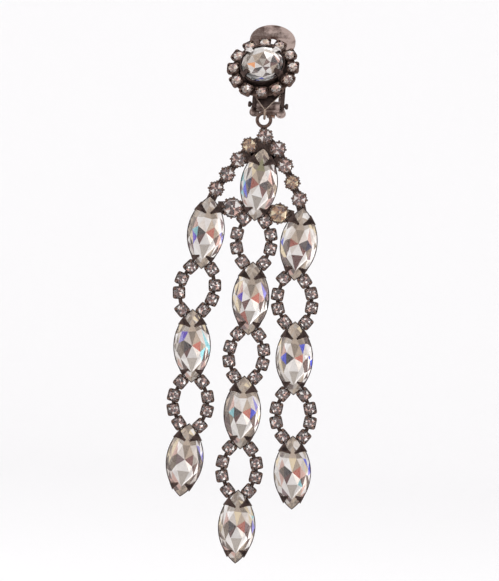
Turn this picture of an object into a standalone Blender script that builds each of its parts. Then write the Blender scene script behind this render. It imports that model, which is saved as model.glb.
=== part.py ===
"""Chandelier clip earring, hanging. Metres, +Z up, the stones face -Y, the origin is in the ear-lobe gap.

A round button with a ring of small stones carries the ear clip behind it and a hook below. On the hook
swings the drop: a V of round stones over navettes, then three strands of navettes joined by open loops.
A flat piece is drawn in its own frame: x to the right, y up, z out towards the viewer.
"""

import math

import bmesh
import bpy
import numpy as np
from mathutils import Matrix, Vector

MM = 0.001

# Stones
NAVETTE_LENGTH = 18.0 * MM
NAVETTE_WIDTH = 9.0 * MM
BUTTON_STONE = 10.5 * MM
MEDIUM_STONE = 4.6 * MM
CROWN_STONE = 3.3 * MM
SMALL_STONE = 2.5 * MM

# Settings
SMALL_CUP = 3.2 * MM
CUP_DEPTH = 1.1 * MM
CUP_RIM = 0.3 * MM
SETTING_WALL = 0.35 * MM
SETTING_DEPTH = 2.2 * MM
STONE_GAP = 0.12 * MM
BAR_WIDTH = 1.0 * MM
BAR_THICKNESS = 0.6 * MM

# Button, its frame lies in the plane of the halo's girdles
FACE_TILT = 31.8
FACE_YAW = 9.0
HALO_RADIUS = 7.55 * MM
HALO_COUNT = 12
PLATE_RADIUS = 7.0 * MM
PLATE_THICKNESS = 0.6 * MM
PLATE_BACK = 1.9 * MM
BUTTON_RISE = 1.5 * MM
BUTTON_LEFT = 1.97 * MM

# Clip
LOBE_GAP = 6.4 * MM
LOBE_HEIGHT = 3.0 * MM
PIN_BELOW = 8.2 * MM
PIN_BEHIND = 4.6 * MM
PIN_RADIUS = 0.38 * MM
PIN_LENGTH = 10.1 * MM
PIN_HEAD_RADIUS = 0.62 * MM
EAR_SPACING = 7.1 * MM
EAR_THICKNESS = 1.0 * MM
EAR_RADIUS = 1.25 * MM
LEVER_LENGTH = 25.4 * MM
LEVER_THICKNESS = 0.9 * MM
LEVER_BEHIND_PIN = 2.0 * MM
PADDLE_WIDTH = 11.7 * MM
PADDLE_HOLE = 2.6 * MM
LEVER_WAIST = 7.2 * MM
HEEL_DROP = 0.7 * MM
HEEL_RADIUS = 1.2 * MM
HEEL_SPACING = 6.7 * MM
TONGUE_WIDTH = 5.0 * MM
BARREL_RADIUS = 1.15 * MM
RUN_CLEARANCE = 0.15 * MM

# Hook and ring
HOOK_LEFT = 0.7 * MM
TAB_REACH = 11.5 * MM
TAB_WIDTH = 5.0 * MM
RING_OUTER = 2.0 * MM
RING_WIRE = 0.33 * MM
HOOK_WIRE = 0.33 * MM
RING_BELOW = 11.66 * MM
RING_FORWARD = 5.0 * MM

# Drop
RING_LEFT = 0.8 * MM
TIP_CLEAR = 0.55 * MM
CROWN_STEP = 4.55 * MM
CROWN_SIDE = 4
SHOULDER_ANGLE = 53.0
SIDE_ANGLE = 30.0
MEDIUM_DROP = 6.6 * MM
LOOP_GAP = 10.5 * MM
LOOP_HALF_WIDTH = 4.2 * MM
SHOULDER_OUT = 2.65 * MM
CROWN_LEAN = 3.0

# One row for each strand. Step is the lean of the line to the next navette, turn that navette's own lean.
# Both are in degrees, and a positive one takes the lower end to the left.
STRANDS = {
    "middle": {"step": (0.0, 0.0, -1.4), "turn": (-0.4, -0.8, -1.8)},
    "left": {"step": (2.7, -0.5), "turn": (-3.2, 3.3)},
    "right": {"step": (-2.0, -3.2), "turn": (-2.8, -3.2)},
}

NAVETTE_SIDES = 12
ROUND_SIDES = 10
BUTTON_SIDES = 16


def clear_scene():
    for old in list(bpy.data.objects):
        bpy.data.objects.remove(old, do_unlink=True)


def material(name, colour, metallic, roughness):
    """A plain Principled material of the piece's own."""
    made = bpy.data.materials.new(name)
    made.use_nodes = True
    shader = made.node_tree.nodes["Principled BSDF"]
    shader.inputs["Base Color"].default_value = (*colour, 1.0)
    shader.inputs["Metallic"].default_value = metallic
    shader.inputs["Roughness"].default_value = roughness
    return made


def flat_frame(x, y, z, lean=0.0):
    """The frame of a flat piece that faces -Y, its lower end swung to the left by lean degrees."""
    a = math.radians(lean)
    right = Vector((math.cos(a), 0.0, -math.sin(a)))
    up = Vector((math.sin(a), 0.0, math.cos(a)))
    out = Vector((0.0, -1.0, 0.0))
    made = Matrix((right, up, out)).transposed().to_4x4()
    made.translation = (x, y, z)
    return made


def along(lean):
    """The unit step down a line that leans by so many degrees, in the x and z of the drop's plane."""
    a = math.radians(lean)
    return np.array([-math.sin(a), -math.cos(a)])


def marquise(length, width, count):
    """The outline of two equal arcs that meet at the tips, anticlockwise from the lower tip."""
    radius = (length**2 + width**2) / (4 * width)
    half_angle = math.asin(length / 2 / radius)
    t = np.linspace(-half_angle, half_angle, count // 2 + 1)
    right = np.stack([radius * np.cos(t) - radius + width / 2, radius * np.sin(t)], 1)
    return np.vstack([right, -right[1:-1]])


def circle(diameter, count):
    t = (np.arange(count) + 0.5) * 2 * math.pi / count
    return diameter / 2 * np.stack([np.cos(t), np.sin(t)], 1)


def cut_square(side):
    """A square with its corners cut, as eight points."""
    h = side / 2
    c = h * 0.56
    return np.array([(h, c), (c, h), (-c, h), (-h, c), (-h, -c), (-c, -h), (c, -h), (h, -c)])


def loft(name, sections, ring=False):
    """The closed mesh through sections of (outline, height), capped, or joined last to first for a ring."""
    bm = bmesh.new()
    rows = [[bm.verts.new((x, y, z)) for x, y in outline] for outline, z in sections]
    pairs = list(zip(rows, rows[1:]))
    if ring:
        pairs.append((rows[-1], rows[0]))
    else:
        bm.faces.new(rows[0])
        bm.faces.new(rows[-1])
    for low, high in pairs:
        for k in range(len(low)):
            n = (k + 1) % len(low)
            bm.faces.new((low[k], low[n], high[n], high[k]))
    return finished(name, bm)


def finished(name, bm):
    """The mesh of bm, triangulated and with its faces pointing out."""
    bmesh.ops.triangulate(bm, faces=bm.faces)
    bmesh.ops.recalc_face_normals(bm, faces=bm.faces)
    mesh = bpy.data.meshes.new(name)
    bm.to_mesh(mesh)
    bm.free()
    return mesh


def moved(mesh, frame):
    mesh.transform(frame)
    return mesh


def box(name, low, high):
    """A box between two opposite corners."""
    bm = bmesh.new()
    bmesh.ops.create_cube(bm, size=1.0)
    size = Vector(high) - Vector(low)
    bmesh.ops.scale(bm, verts=bm.verts, vec=size)
    bmesh.ops.translate(bm, verts=bm.verts, vec=Vector(low) + size / 2)
    return finished(name, bm)


def rod(name, radius, length, sides):
    """A cylinder along x, centred on the origin."""
    bm = bmesh.new()
    bmesh.ops.create_cone(
        bm, cap_ends=True, segments=sides, radius1=radius, radius2=radius, depth=length
    )
    bmesh.ops.rotate(bm, verts=bm.verts, matrix=Matrix.Rotation(math.pi / 2, 3, "Y"))
    return finished(name, bm)


def from_curve(name, curve):
    """The welded mesh of a curve."""
    guide = bpy.data.objects.new(name, curve)
    bpy.context.scene.collection.objects.link(guide)
    graph = bpy.context.evaluated_depsgraph_get()
    mesh = bpy.data.meshes.new_from_object(guide.evaluated_get(graph))
    bpy.data.objects.remove(guide)
    bm = bmesh.new()
    bm.from_mesh(mesh)
    bmesh.ops.remove_doubles(bm, verts=bm.verts, dist=0.002 * MM)
    return finished(name, bm)


def plate(name, outlines, thickness):
    """A flat plate centred on z = 0 inside the first outline, with the others as holes."""
    curve = bpy.data.curves.new(name, "CURVE")
    curve.dimensions = "2D"
    curve.fill_mode = "BOTH"
    curve.extrude = thickness / 2
    for outline in outlines:
        add_spline(curve, [(x, y, 0.0) for x, y in outline])
    return from_curve(name, curve)


def wire_loop(name, points, radius):
    """A closed loop of round wire through the points."""
    curve = bpy.data.curves.new(name, "CURVE")
    curve.dimensions = "3D"
    curve.bevel_depth = radius
    curve.bevel_resolution = 1
    add_spline(curve, points)
    return from_curve(name, curve)


def add_spline(curve, points):
    spline = curve.splines.new("POLY")
    spline.points.add(len(points) - 1)
    for target, point in zip(spline.points, points):
        target.co = (*point, 1.0)
    spline.use_cyclic_u = True


def fuse(name, meshes):
    """One closed mesh from overlapping ones, by a Boolean union."""
    base = bpy.data.objects.new(name, meshes[0])
    bpy.context.scene.collection.objects.link(base)
    if len(meshes) > 1:
        others = bpy.data.collections.new(name + "_pieces")
        bpy.context.scene.collection.children.link(others)
        for mesh in meshes[1:]:
            others.objects.link(bpy.data.objects.new(mesh.name, mesh))
        union = base.modifiers.new("Union", "BOOLEAN")
        union.operation = "UNION"
        union.operand_type = "COLLECTION"
        union.collection = others
        union.solver = "EXACT"
        graph = bpy.context.evaluated_depsgraph_get()
        mesh = merged_flats(bpy.data.meshes.new_from_object(base.evaluated_get(graph)))
        for piece in list(others.objects):
            bpy.data.objects.remove(piece)
        bpy.data.collections.remove(others)
    else:
        mesh = meshes[0]
    bpy.data.objects.remove(base)
    mesh.name = name
    return mesh


def merged_flats(mesh):
    """The same mesh with the cuts that a union leaves across its flat faces taken out."""
    bm = bmesh.new()
    bm.from_mesh(mesh)
    bmesh.ops.dissolve_limit(bm, angle_limit=math.radians(0.2), verts=bm.verts, edges=bm.edges)
    bmesh.ops.triangulate(bm, faces=bm.faces)
    bm.to_mesh(mesh)
    bm.free()
    return mesh


def add_part(name, meshes, looks, pivot=None):
    """Puts one named piece in the earring's collection, its origin at pivot if it moves."""
    mesh = fuse(name, meshes)
    mesh.materials.clear()
    mesh.materials.append(material(name, *looks))
    part = bpy.data.objects.new(name, mesh)
    if pivot is not None:
        mesh.transform(Matrix.Translation(-Vector(pivot)))
        part.location = pivot
    if looks is not CRYSTAL:
        mesh.shade_smooth()
        mesh.set_sharp_from_angle(angle=math.radians(35))
    EARRING.objects.link(part)
    return part


def grown(outline_of, grow):
    """The outline of a stone grown all round by a distance, negative for smaller."""
    return outline_of(2 * grow)


def navette_outline(grow):
    """The navette's outline with its width grown; a blunt tip moves out by a quarter more."""
    return marquise(NAVETTE_LENGTH + 1.25 * grow, NAVETTE_WIDTH + grow, NAVETTE_SIDES)


def round_outline(diameter, count):
    return lambda grow: circle(diameter + grow, count)


def stone_sizes(width):
    """The crown height, pavilion depth and half girdle of a stone, from its width."""
    return {"crown": 0.15 * width, "pavilion": 0.22 * width, "girdle": 0.012 * width}


def cut_stone(name, outline_of, width):
    """A cut stone: table, crown facets, girdle and a pavilion to a small flat keel."""
    size = stone_sizes(width)
    whole = outline_of(0.0)
    return loft(
        name,
        [
            (whole * 0.2, -size["pavilion"]),
            (whole, -size["girdle"]),
            (whole, size["girdle"]),
            (whole * 0.58, size["crown"]),
        ],
    )


def setting_wall(name, outline_of, depth):
    """The open-backed wall round a stone, drawn in towards its back."""
    outer = STONE_GAP + SETTING_WALL
    return loft(
        name,
        [
            (grown(outline_of, -0.5 * SETTING_WALL), -depth),
            (grown(outline_of, outer), CUP_RIM),
            (grown(outline_of, STONE_GAP), CUP_RIM),
            (grown(outline_of, STONE_GAP), -0.2 * depth),
            (grown(outline_of, -3.0 * SETTING_WALL), -depth),
        ],
        ring=True,
    )


def claw(name, foot, inward, reach, base_width, tip_width, width):
    """A flat claw that stands on the setting's wall at foot and folds in over the crown of a stone."""
    size = stone_sizes(width)
    outer = STONE_GAP + SETTING_WALL * 1.35
    inner = STONE_GAP + SETTING_WALL * 0.4
    rise = size["girdle"] + reach * size["crown"] / (0.21 * width) + STONE_GAP
    thick = 0.3 * MM
    path = [
        (outer, inner, -CUP_DEPTH * 0.7, -CUP_DEPTH * 0.7, base_width),
        (outer, inner, CUP_RIM + thick, CUP_RIM + 0.02 * MM, base_width),
        (-reach, -reach, rise + thick, rise, tip_width),
    ]
    foot = np.array(foot)
    inward = np.array(inward)
    side = np.array([-inward[1], inward[0]])
    bm = bmesh.new()
    rows = []
    for out_a, out_b, z_a, z_b, across in path:
        corners = []
        for out, z, half in ((out_a, z_a, 0.5), (out_a, z_a, -0.5), (out_b, z_b, -0.5), (out_b, z_b, 0.5)):
            x, y = foot - inward * out + side * half * across
            corners.append(bm.verts.new((x, y, z)))
        rows.append(corners)
    bm.faces.new(rows[0])
    bm.faces.new(rows[-1])
    for low, high in zip(rows, rows[1:]):
        for k in range(4):
            n = (k + 1) % 4
            bm.faces.new((low[k], low[n], high[n], high[k]))
    return finished(name, bm)


def navette_claws(frame):
    """Four claws near the tips, square to the outline, which leave the stone's tips bare."""
    radius = (NAVETTE_LENGTH**2 + NAVETTE_WIDTH**2) / (4 * NAVETTE_WIDTH)
    angle = math.asin(0.29 * NAVETTE_LENGTH / radius)
    made = []
    for sx in (1, -1):
        for sy in (1, -1):
            outward = np.array([sx * math.cos(angle), sy * math.sin(angle)])
            foot = outward * radius - np.array([sx * (radius - NAVETTE_WIDTH / 2), 0.0])
            made.append(
                moved(
                    claw("claw", foot, -outward, 0.16 * NAVETTE_WIDTH, 0.25 * NAVETTE_WIDTH,
                         0.05 * NAVETTE_WIDTH, NAVETTE_WIDTH),
                    frame,
                )
            )
    return made


def small_cup(frame):
    """A small square cup with its round stone fused in: back, walls, rim, crown and table."""
    return moved(
        loft(
            "cup",
            [
                (cut_square(0.84 * SMALL_CUP), -CUP_DEPTH),
                (cut_square(SMALL_CUP), CUP_RIM),
                (circle(SMALL_STONE, 8), CUP_RIM),
                (circle(0.58 * SMALL_STONE, 8), CUP_RIM + 0.16 * SMALL_STONE),
            ],
        ),
        frame,
    )


def round_cup(frame, diameter, depth):
    """An open-topped round cup for a stone that is a piece of its own."""
    outer = diameter + 2 * (STONE_GAP + SETTING_WALL)
    inner = diameter + 2 * STONE_GAP
    return moved(
        loft(
            "cup",
            [
                (circle(0.7 * outer, ROUND_SIDES), -depth),
                (circle(outer, ROUND_SIDES), CUP_RIM),
                (circle(inner, ROUND_SIDES), CUP_RIM),
                (circle(inner, ROUND_SIDES), -0.3 * depth),
                (circle(0.45 * inner, ROUND_SIDES), -0.85 * depth),
            ],
        ),
        frame,
    )


def bar(start, end, y, cut_start=0.0, cut_end=0.0, front=-0.35 * CUP_DEPTH):
    """A flat bar between two points of the drop's plane, cut short at either end."""
    start = np.array(start)
    end = np.array(end)
    run = np.linalg.norm(end - start)
    step = (end - start) / run
    lean = math.degrees(math.atan2(-step[0], -step[1]))
    half = BAR_WIDTH / 2
    made = box("bar", (-half, -(run - cut_end), front - BAR_THICKNESS), (half, -cut_start, front))
    return moved(made, flat_frame(start[0], y, start[1], lean))


def placed(frame, x, y):
    """The x and z in the world of a point of a flat piece's frame."""
    spot = frame @ Vector((x, y, 0.0))
    return np.array([spot.x, spot.z])


def shoulder_cups(frame, lean, y, ends):
    """The small cups on a navette's shoulders, turned outwards: end 1 is its upper tip, -1 its lower."""
    made = []
    for end in ends:
        spots = []
        for side in (-1, 1):
            x, z = placed(frame, side * SHOULDER_OUT, end * NAVETTE_LENGTH / 2)
            turn = lean + 40.0 * side * end
            made.append(small_cup(flat_frame(x, y, z, turn)))
            spots.append((x, z))
        made.append(bar(spots[0], spots[1], y, 0.3 * SMALL_CUP, 0.3 * SMALL_CUP))
    return made


def navette_setting(frame, lean, y, ends):
    wall = moved(setting_wall("wall", navette_outline, SETTING_DEPTH), frame)
    return [wall] + navette_claws(frame) + shoulder_cups(frame, lean, y, ends)


def navette_stone(name, frame):
    made = moved(cut_stone(name, navette_outline, NAVETTE_WIDTH), frame)
    add_part(name, [made], CRYSTAL)


# The clip's frame has no yaw: its x is the world's. Its origin is level with the halo's centre.
TILT = math.radians(FACE_TILT)
CLIP_UP = Vector((0.0, math.sin(TILT), math.cos(TILT)))
CLIP_OUT = Vector((0.0, -math.cos(TILT), math.sin(TILT)))
LOBE_CENTRE_BEHIND = PLATE_BACK + LOBE_GAP / 2
CLIP_ORIGIN = LOBE_CENTRE_BEHIND * CLIP_OUT - LOBE_HEIGHT * CLIP_UP
HALO_CENTRE = CLIP_ORIGIN - Vector((BUTTON_LEFT, 0.0, 0.0))


def clip_frame():
    made = Matrix((Vector((1.0, 0.0, 0.0)), CLIP_UP, CLIP_OUT)).transposed().to_4x4()
    made.translation = CLIP_ORIGIN
    return made


def face_frame():
    """The button's frame, turned a little to the left of the clip's."""
    turn = Matrix.Rotation(math.radians(-FACE_YAW), 4, "Y")
    made = clip_frame() @ turn
    made.translation = HALO_CENTRE
    return made


def pin_centre():
    return clip_frame() @ Vector((0.0, -PIN_BELOW, -PIN_BEHIND))


def hook_pivot():
    """The middle of the ring's top wire, on which the drop swings."""
    return CLIP_ORIGIN + Vector((-HOOK_LEFT, -RING_FORWARD, -RING_BELOW))


def button_setting():
    """Back plate, collet with four broad claws, hinge bracket and the hook tab, soldered together."""
    face = face_frame()
    clip = clip_frame()
    rise = Matrix.Translation((0.0, 0.0, BUTTON_RISE))
    plate_front = PLATE_THICKNESS - PLATE_BACK
    back = moved(
        loft("back", [(circle(2 * PLATE_RADIUS, 24), -PLATE_BACK), (circle(2 * PLATE_RADIUS, 24), plate_front)]),
        face,
    )
    outer = BUTTON_STONE + 2 * (STONE_GAP + SETTING_WALL)
    inner = BUTTON_STONE + 2 * STONE_GAP
    foot = plate_front - 0.5 * PLATE_THICKNESS
    collet = loft(
        "collet",
        [
            (circle(0.9 * outer, BUTTON_SIDES), foot),
            (circle(outer, BUTTON_SIDES), BUTTON_RISE + CUP_RIM),
            (circle(inner, BUTTON_SIDES), BUTTON_RISE + CUP_RIM),
            (circle(inner, BUTTON_SIDES), BUTTON_RISE - CUP_RIM),
            (circle(0.75 * inner, BUTTON_SIDES), foot),
        ],
        ring=True,
    )
    pieces = [back, moved(collet, face)]
    for k in range(4):
        a = math.pi / 4 + k * math.pi / 2
        outward = np.array([math.cos(a), math.sin(a)])
        made = claw(
            "claw", outward * BUTTON_STONE / 2, -outward, 0.13 * BUTTON_STONE, 0.3 * BUTTON_STONE,
            0.13 * BUTTON_STONE, BUTTON_STONE,
        )
        pieces.append(moved(made, face @ rise))
    pieces.append(moved(bracket_base(), clip))
    for side in (-1, 1):
        pieces.append(moved(bracket_ear(side), clip))
    pieces.append(moved(hook_tab(), clip))
    pieces.append(hook_loop())
    add_part("button_setting", pieces, DARK_METAL)


def bracket_base():
    """The strip soldered on the back plate that the two ears are folded from."""
    half = (EAR_SPACING + EAR_THICKNESS) / 2
    low = (-half, -(PIN_BELOW - EAR_RADIUS), -PLATE_BACK - PLATE_THICKNESS * 1.1)
    high = (half, -0.35 * PIN_BELOW, -PLATE_BACK + PLATE_THICKNESS * 0.3)
    return box("base", low, high)


def bracket_ear(side):
    """An ear: from the base strip back to a round end about the pin, with the pin's hole."""
    top = (-PLATE_BACK, -0.45 * PIN_BELOW)
    bottom = (-PLATE_BACK, -PIN_BELOW + 0.2 * EAR_RADIUS)
    t = np.linspace(-0.5, 0.5, 7) * math.pi - 0.5 * math.pi
    end = [
        (-PIN_BEHIND + EAR_RADIUS * math.sin(a), -PIN_BELOW + EAR_RADIUS * math.cos(a)) for a in t
    ]
    hole = [
        (-PIN_BEHIND + x, -PIN_BELOW + y) for x, y in circle(2 * (PIN_RADIUS + RUN_CLEARANCE), 8)
    ]
    made = plate("ear", [[top, bottom] + end, hole], EAR_THICKNESS)
    stand = Matrix(((0, 0, 1, 0), (0, 1, 0, 0), (1, 0, 0, 0), (0, 0, 0, 1)))
    made.transform(stand)
    made.flip_normals()
    made.transform(Matrix.Translation((side * EAR_SPACING / 2, 0.0, 0.0)))
    return made


def hook_tab():
    """The V-shaped tab, in the back plate's own plane, down to the hook."""
    x = -HOOK_LEFT
    outline = [
        (x - TAB_WIDTH / 2, -0.75 * PLATE_RADIUS),
        (x - TAB_WIDTH / 2, -PLATE_RADIUS),
        (x - HOOK_WIRE, -TAB_REACH),
        (x + HOOK_WIRE, -TAB_REACH),
        (x + TAB_WIDTH / 2, -PLATE_RADIUS),
        (x + TAB_WIDTH / 2, -0.75 * PLATE_RADIUS),
    ]
    made = plate("tab", [outline], 0.8 * PLATE_THICKNESS)
    return moved(made, Matrix.Translation((0.0, 0.0, -PLATE_BACK + PLATE_THICKNESS / 2)))


def hook_loop():
    """The narrow loop that passes through the ring, seen edge on, closed at the tab's tip."""
    centre = hook_pivot()
    radius = RING_WIRE + HOOK_WIRE + RUN_CLEARANCE
    tip = clip_frame() @ Vector((-HOOK_LEFT, -TAB_REACH, -PLATE_BACK + PLATE_THICKNESS / 2))
    points = []
    for a in np.linspace(0.0, -math.pi, 7):
        points.append(centre + Vector((0.0, radius * math.cos(a), radius * math.sin(a))))
    points.append(Vector((centre.x, centre.y - 0.9 * radius, centre.z + radius)))
    points.append(Vector((centre.x, tip.y, tip.z + HOOK_WIRE)))
    points.append(Vector((centre.x, centre.y + 0.9 * radius, centre.z + 0.9 * radius)))
    return wire_loop("hook", points, HOOK_WIRE)


def button_stone():
    frame = face_frame() @ Matrix.Translation((0.0, 0.0, BUTTON_RISE))
    outline = round_outline(BUTTON_STONE, BUTTON_SIDES)
    add_part("button_stone", [moved(cut_stone("stone", outline, BUTTON_STONE), frame)], CRYSTAL)


def button_halo():
    """Twelve small set stones on a flat ring round the collet."""
    face = face_frame()
    back = -PLATE_BACK + PLATE_THICKNESS + STONE_GAP
    front = -0.8 * CUP_DEPTH
    inner = 2 * (HALO_RADIUS - 0.35 * SMALL_CUP)
    outer = 2 * (HALO_RADIUS + 0.2 * SMALL_CUP)
    ring = loft(
        "ring",
        [
            (circle(inner, HALO_COUNT), back),
            (circle(outer, HALO_COUNT), back),
            (circle(outer, HALO_COUNT), front),
            (circle(inner, HALO_COUNT), front),
        ],
        ring=True,
    )
    pieces = [moved(ring, face)]
    for k in range(HALO_COUNT):
        turn = Matrix.Rotation(2 * math.pi * k / HALO_COUNT, 4, "Z")
        pieces.append(small_cup(face @ turn @ Matrix.Translation((0.0, HALO_RADIUS, 0.0))))
    add_part("button_halo", pieces, DARK_METAL)


def clip_lever():
    """The paddle with its hole, its heel and the barrel that turns on the pin."""
    behind_pin = PLATE_BACK + LOBE_GAP - PIN_BEHIND
    lean = math.atan2(behind_pin - LEVER_BEHIND_PIN + LEVER_THICKNESS / 2, LOBE_HEIGHT + PIN_BELOW)
    turn = clip_frame()
    turn.translation = pin_centre()
    turn = turn @ Matrix.Rotation(-lean, 4, "X")
    half = PADDLE_WIDTH / 2
    t = np.linspace(-0.2, 1.2, 15) * math.pi
    paddle = [(half * math.cos(a), LEVER_LENGTH + half * math.sin(a)) for a in t]
    waist = LEVER_WAIST / 2
    lobe = HEEL_SPACING / 2
    left_lobe = [
        (-lobe + HEEL_RADIUS * math.cos(a), -HEEL_DROP + HEEL_RADIUS * math.sin(a))
        for a in np.linspace(1.0, 1.6, 5) * math.pi
    ]
    right_lobe = [(-x, y) for x, y in reversed(left_lobe)]
    tongue = -HEEL_DROP - 1.2 * HEEL_RADIUS
    outline = (
        paddle
        + [(-waist, 0.45 * LEVER_LENGTH), (-waist, 0.12 * LEVER_LENGTH)]
        + left_lobe
        + [(-TONGUE_WIDTH / 2 + 0.3 * MM, tongue), (TONGUE_WIDTH / 2 - 0.3 * MM, tongue)]
        + right_lobe
        + [(waist, 0.12 * LEVER_LENGTH), (waist, 0.45 * LEVER_LENGTH)]
    )
    hole = [(x, LEVER_LENGTH + y) for x, y in circle(PADDLE_HOLE, 16)]
    leaf = plate("leaf", [outline, hole], LEVER_THICKNESS)
    leaf.transform(Matrix.Translation((0.0, 0.0, -LEVER_BEHIND_PIN)))
    width = EAR_SPACING - EAR_THICKNESS - 2 * RUN_CLEARANCE
    barrel = lever_barrel(width)
    add_part("clip_lever", [moved(leaf, turn), moved(barrel, turn)], PEWTER, pin_centre())


def lever_barrel(width):
    """The rolled barrel about the pin and its web to the leaf, as one bored block."""
    t = np.linspace(-0.5, 0.5, 9) * math.pi
    nose = [(BARREL_RADIUS * math.cos(a), BARREL_RADIUS * math.sin(a)) for a in t]
    outline = nose + [(-LEVER_BEHIND_PIN, BARREL_RADIUS), (-LEVER_BEHIND_PIN, -BARREL_RADIUS)]
    hole = circle(2 * (PIN_RADIUS + RUN_CLEARANCE), 8)
    made = plate("barrel", [outline, hole], width)
    made.transform(Matrix(((0, 0, 1, 0), (0, 1, 0, 0), (1, 0, 0, 0), (0, 0, 0, 1))))
    made.flip_normals()
    return made


def clip_pin():
    frame = Matrix.Translation(pin_centre())
    shaft = rod("shaft", PIN_RADIUS, PIN_LENGTH, 10)
    head = PIN_LENGTH / 2 - (EAR_SPACING + EAR_THICKNESS) / 2 - RUN_CLEARANCE
    pieces = [moved(shaft, frame)]
    for side in (-1, 1):
        shift = Matrix.Translation((side * (PIN_LENGTH - head) / 2, 0.0, 0.0))
        pieces.append(moved(rod("head", PIN_HEAD_RADIUS, head, 10), frame @ shift))
    add_part("clip_pin", pieces, PEWTER)


def crown_places():
    """The places of the crown's pieces in its own frame, whose origin is the centre navette's middle."""
    cup = CROWN_STONE / 2 + STONE_GAP + SETTING_WALL
    top = NAVETTE_LENGTH / 2 + SETTING_WALL + STONE_GAP + TIP_CLEAR + cup
    rows = []
    for side in (-1, 1):
        spot = np.array([0.0, top])
        for k in range(CROWN_SIDE):
            angle = SHOULDER_ANGLE if k == 0 else SIDE_ANGLE
            spot = spot + CROWN_STEP * along(angle) * np.array([-side, 1.0])
            rows.append((side, spot))
        tip = spot + (cup + 0.3 * MM) * along(SIDE_ANGLE) * np.array([-side, 1.0])
        outer = tip + NAVETTE_LENGTH / 2 * along(0.0)
        rows.append((side, outer))
    ring = top + cup + RING_OUTER - 0.15 * MM
    return {"cup": cup, "top": top, "rows": rows, "ring": ring}


def crown():
    """Ring, V of cups, centre navette, medium cups and the two upper outer navettes, soldered together."""
    pivot = hook_pivot()
    places = crown_places()
    root = flat_frame(pivot.x, pivot.y, pivot.z, CROWN_LEAN)
    drop = places["ring"] + RING_OUTER - RING_WIRE
    root = root @ Matrix.Translation((RING_LEFT, -drop, 0.0))
    y = pivot.y
    pieces = navette_setting(root, CROWN_LEAN, y, (-1,))
    bpy.ops.mesh.primitive_torus_add(
        major_segments=16, minor_segments=6, major_radius=RING_OUTER - RING_WIRE, minor_radius=RING_WIRE
    )
    torus = bpy.context.active_object
    ring = torus.data
    bpy.data.objects.remove(torus)
    pieces.append(moved(ring, root @ Matrix.Translation((-RING_LEFT, places["ring"], 0.0))))
    depth = 0.42 * CROWN_STONE
    stones = []

    def set_round(name, spot, diameter):
        x, z = placed(root, spot[0], spot[1])
        frame = flat_frame(x, y, z, CROWN_LEAN)
        pieces.append(round_cup(frame, diameter, depth + 0.28 * diameter))
        stones.append((name, frame, diameter))
        return np.array([x, z])

    top = set_round("crown_stone_top", (0.0, places["top"]), CROWN_STONE)
    pieces.append(bar(top, placed(root, 0.0, 0.46 * NAVETTE_LENGTH), y, 0.8 * places["cup"]))
    neck = placed(root, -RING_LEFT, places["ring"] - RING_OUTER + RING_WIRE)
    pieces.append(bar(neck, top, y, 0.0, 0.8 * places["cup"], BAR_THICKNESS / 2))
    outers = {}
    for side, label in ((-1, "left"), (1, "right")):
        row = [spot for at, spot in places["rows"] if at == side]
        last = top
        for k, spot in enumerate(row[:-1]):
            here = set_round(f"crown_stone_{label}_{k + 1}", spot, CROWN_STONE)
            trim = 0.8 * places["cup"]
            pieces.append(bar(last, here, y, trim, trim))
            last = here
        x, z = placed(root, row[-1][0], row[-1][1])
        frame = flat_frame(x, y, z, CROWN_LEAN)
        pieces.extend(navette_setting(frame, CROWN_LEAN, y, (-1,)))
        pieces.append(bar(last, placed(frame, 0.0, 0.45 * NAVETTE_LENGTH), y, 0.8 * places["cup"]))
        outers[label] = frame
        medium = np.array([row[-1][0] / 2, -MEDIUM_DROP])
        here = set_round(f"medium_stone_{label}", medium, MEDIUM_STONE)
        trim = 0.4 * MEDIUM_STONE
        inner = placed(root, side * 0.25 * NAVETTE_WIDTH, -0.9 * MEDIUM_DROP)
        pieces.append(bar(here, inner, y, trim))
        outward = placed(frame, -side * 0.25 * NAVETTE_WIDTH, 0.36 * NAVETTE_LENGTH)
        pieces.append(bar(here, outward, y, trim))
    add_part("crown_frame", pieces, DARK_METAL, pivot)
    for name, frame, diameter in stones:
        made = cut_stone(name, round_outline(diameter, ROUND_SIDES), diameter)
        add_part(name, [moved(made, frame)], CRYSTAL)
    navette_stone("navette_stone_centre", root)
    navette_stone("navette_stone_left_1", outers["left"])
    navette_stone("navette_stone_right_1", outers["right"])
    return {"middle": root, "left": outers["left"], "right": outers["right"]}


def side_chain(name, upper, lower, side, y):
    """Two small set stones and three bars that bow out from one navette's tip to the next one's."""
    half = NAVETTE_LENGTH / 2
    start = placed(upper, side * SHOULDER_OUT, -half)
    end = placed(lower, side * SHOULDER_OUT, half)
    tip = placed(upper, 0.0, -half)
    run = placed(lower, 0.0, half) - tip
    across = side * np.array([-run[1], run[0]]) / np.linalg.norm(run)
    high = tip + run / 3 + LOOP_HALF_WIDTH * across
    low = tip + run * 2 / 3 + LOOP_HALF_WIDTH * across
    lean = math.degrees(math.atan2(-run[0], -run[1]))
    clear = 0.59 * SMALL_CUP
    bury = 0.3 * SMALL_CUP
    pieces = [
        small_cup(flat_frame(high[0], y, high[1], lean - 12.0 * side)),
        small_cup(flat_frame(low[0], y, low[1], lean + 12.0 * side)),
        bar(start, high, y, clear, bury),
        bar(high, low, y, bury, bury),
        bar(low, end, y, bury, clear),
    ]
    add_part(name, pieces, DARK_METAL)


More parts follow.
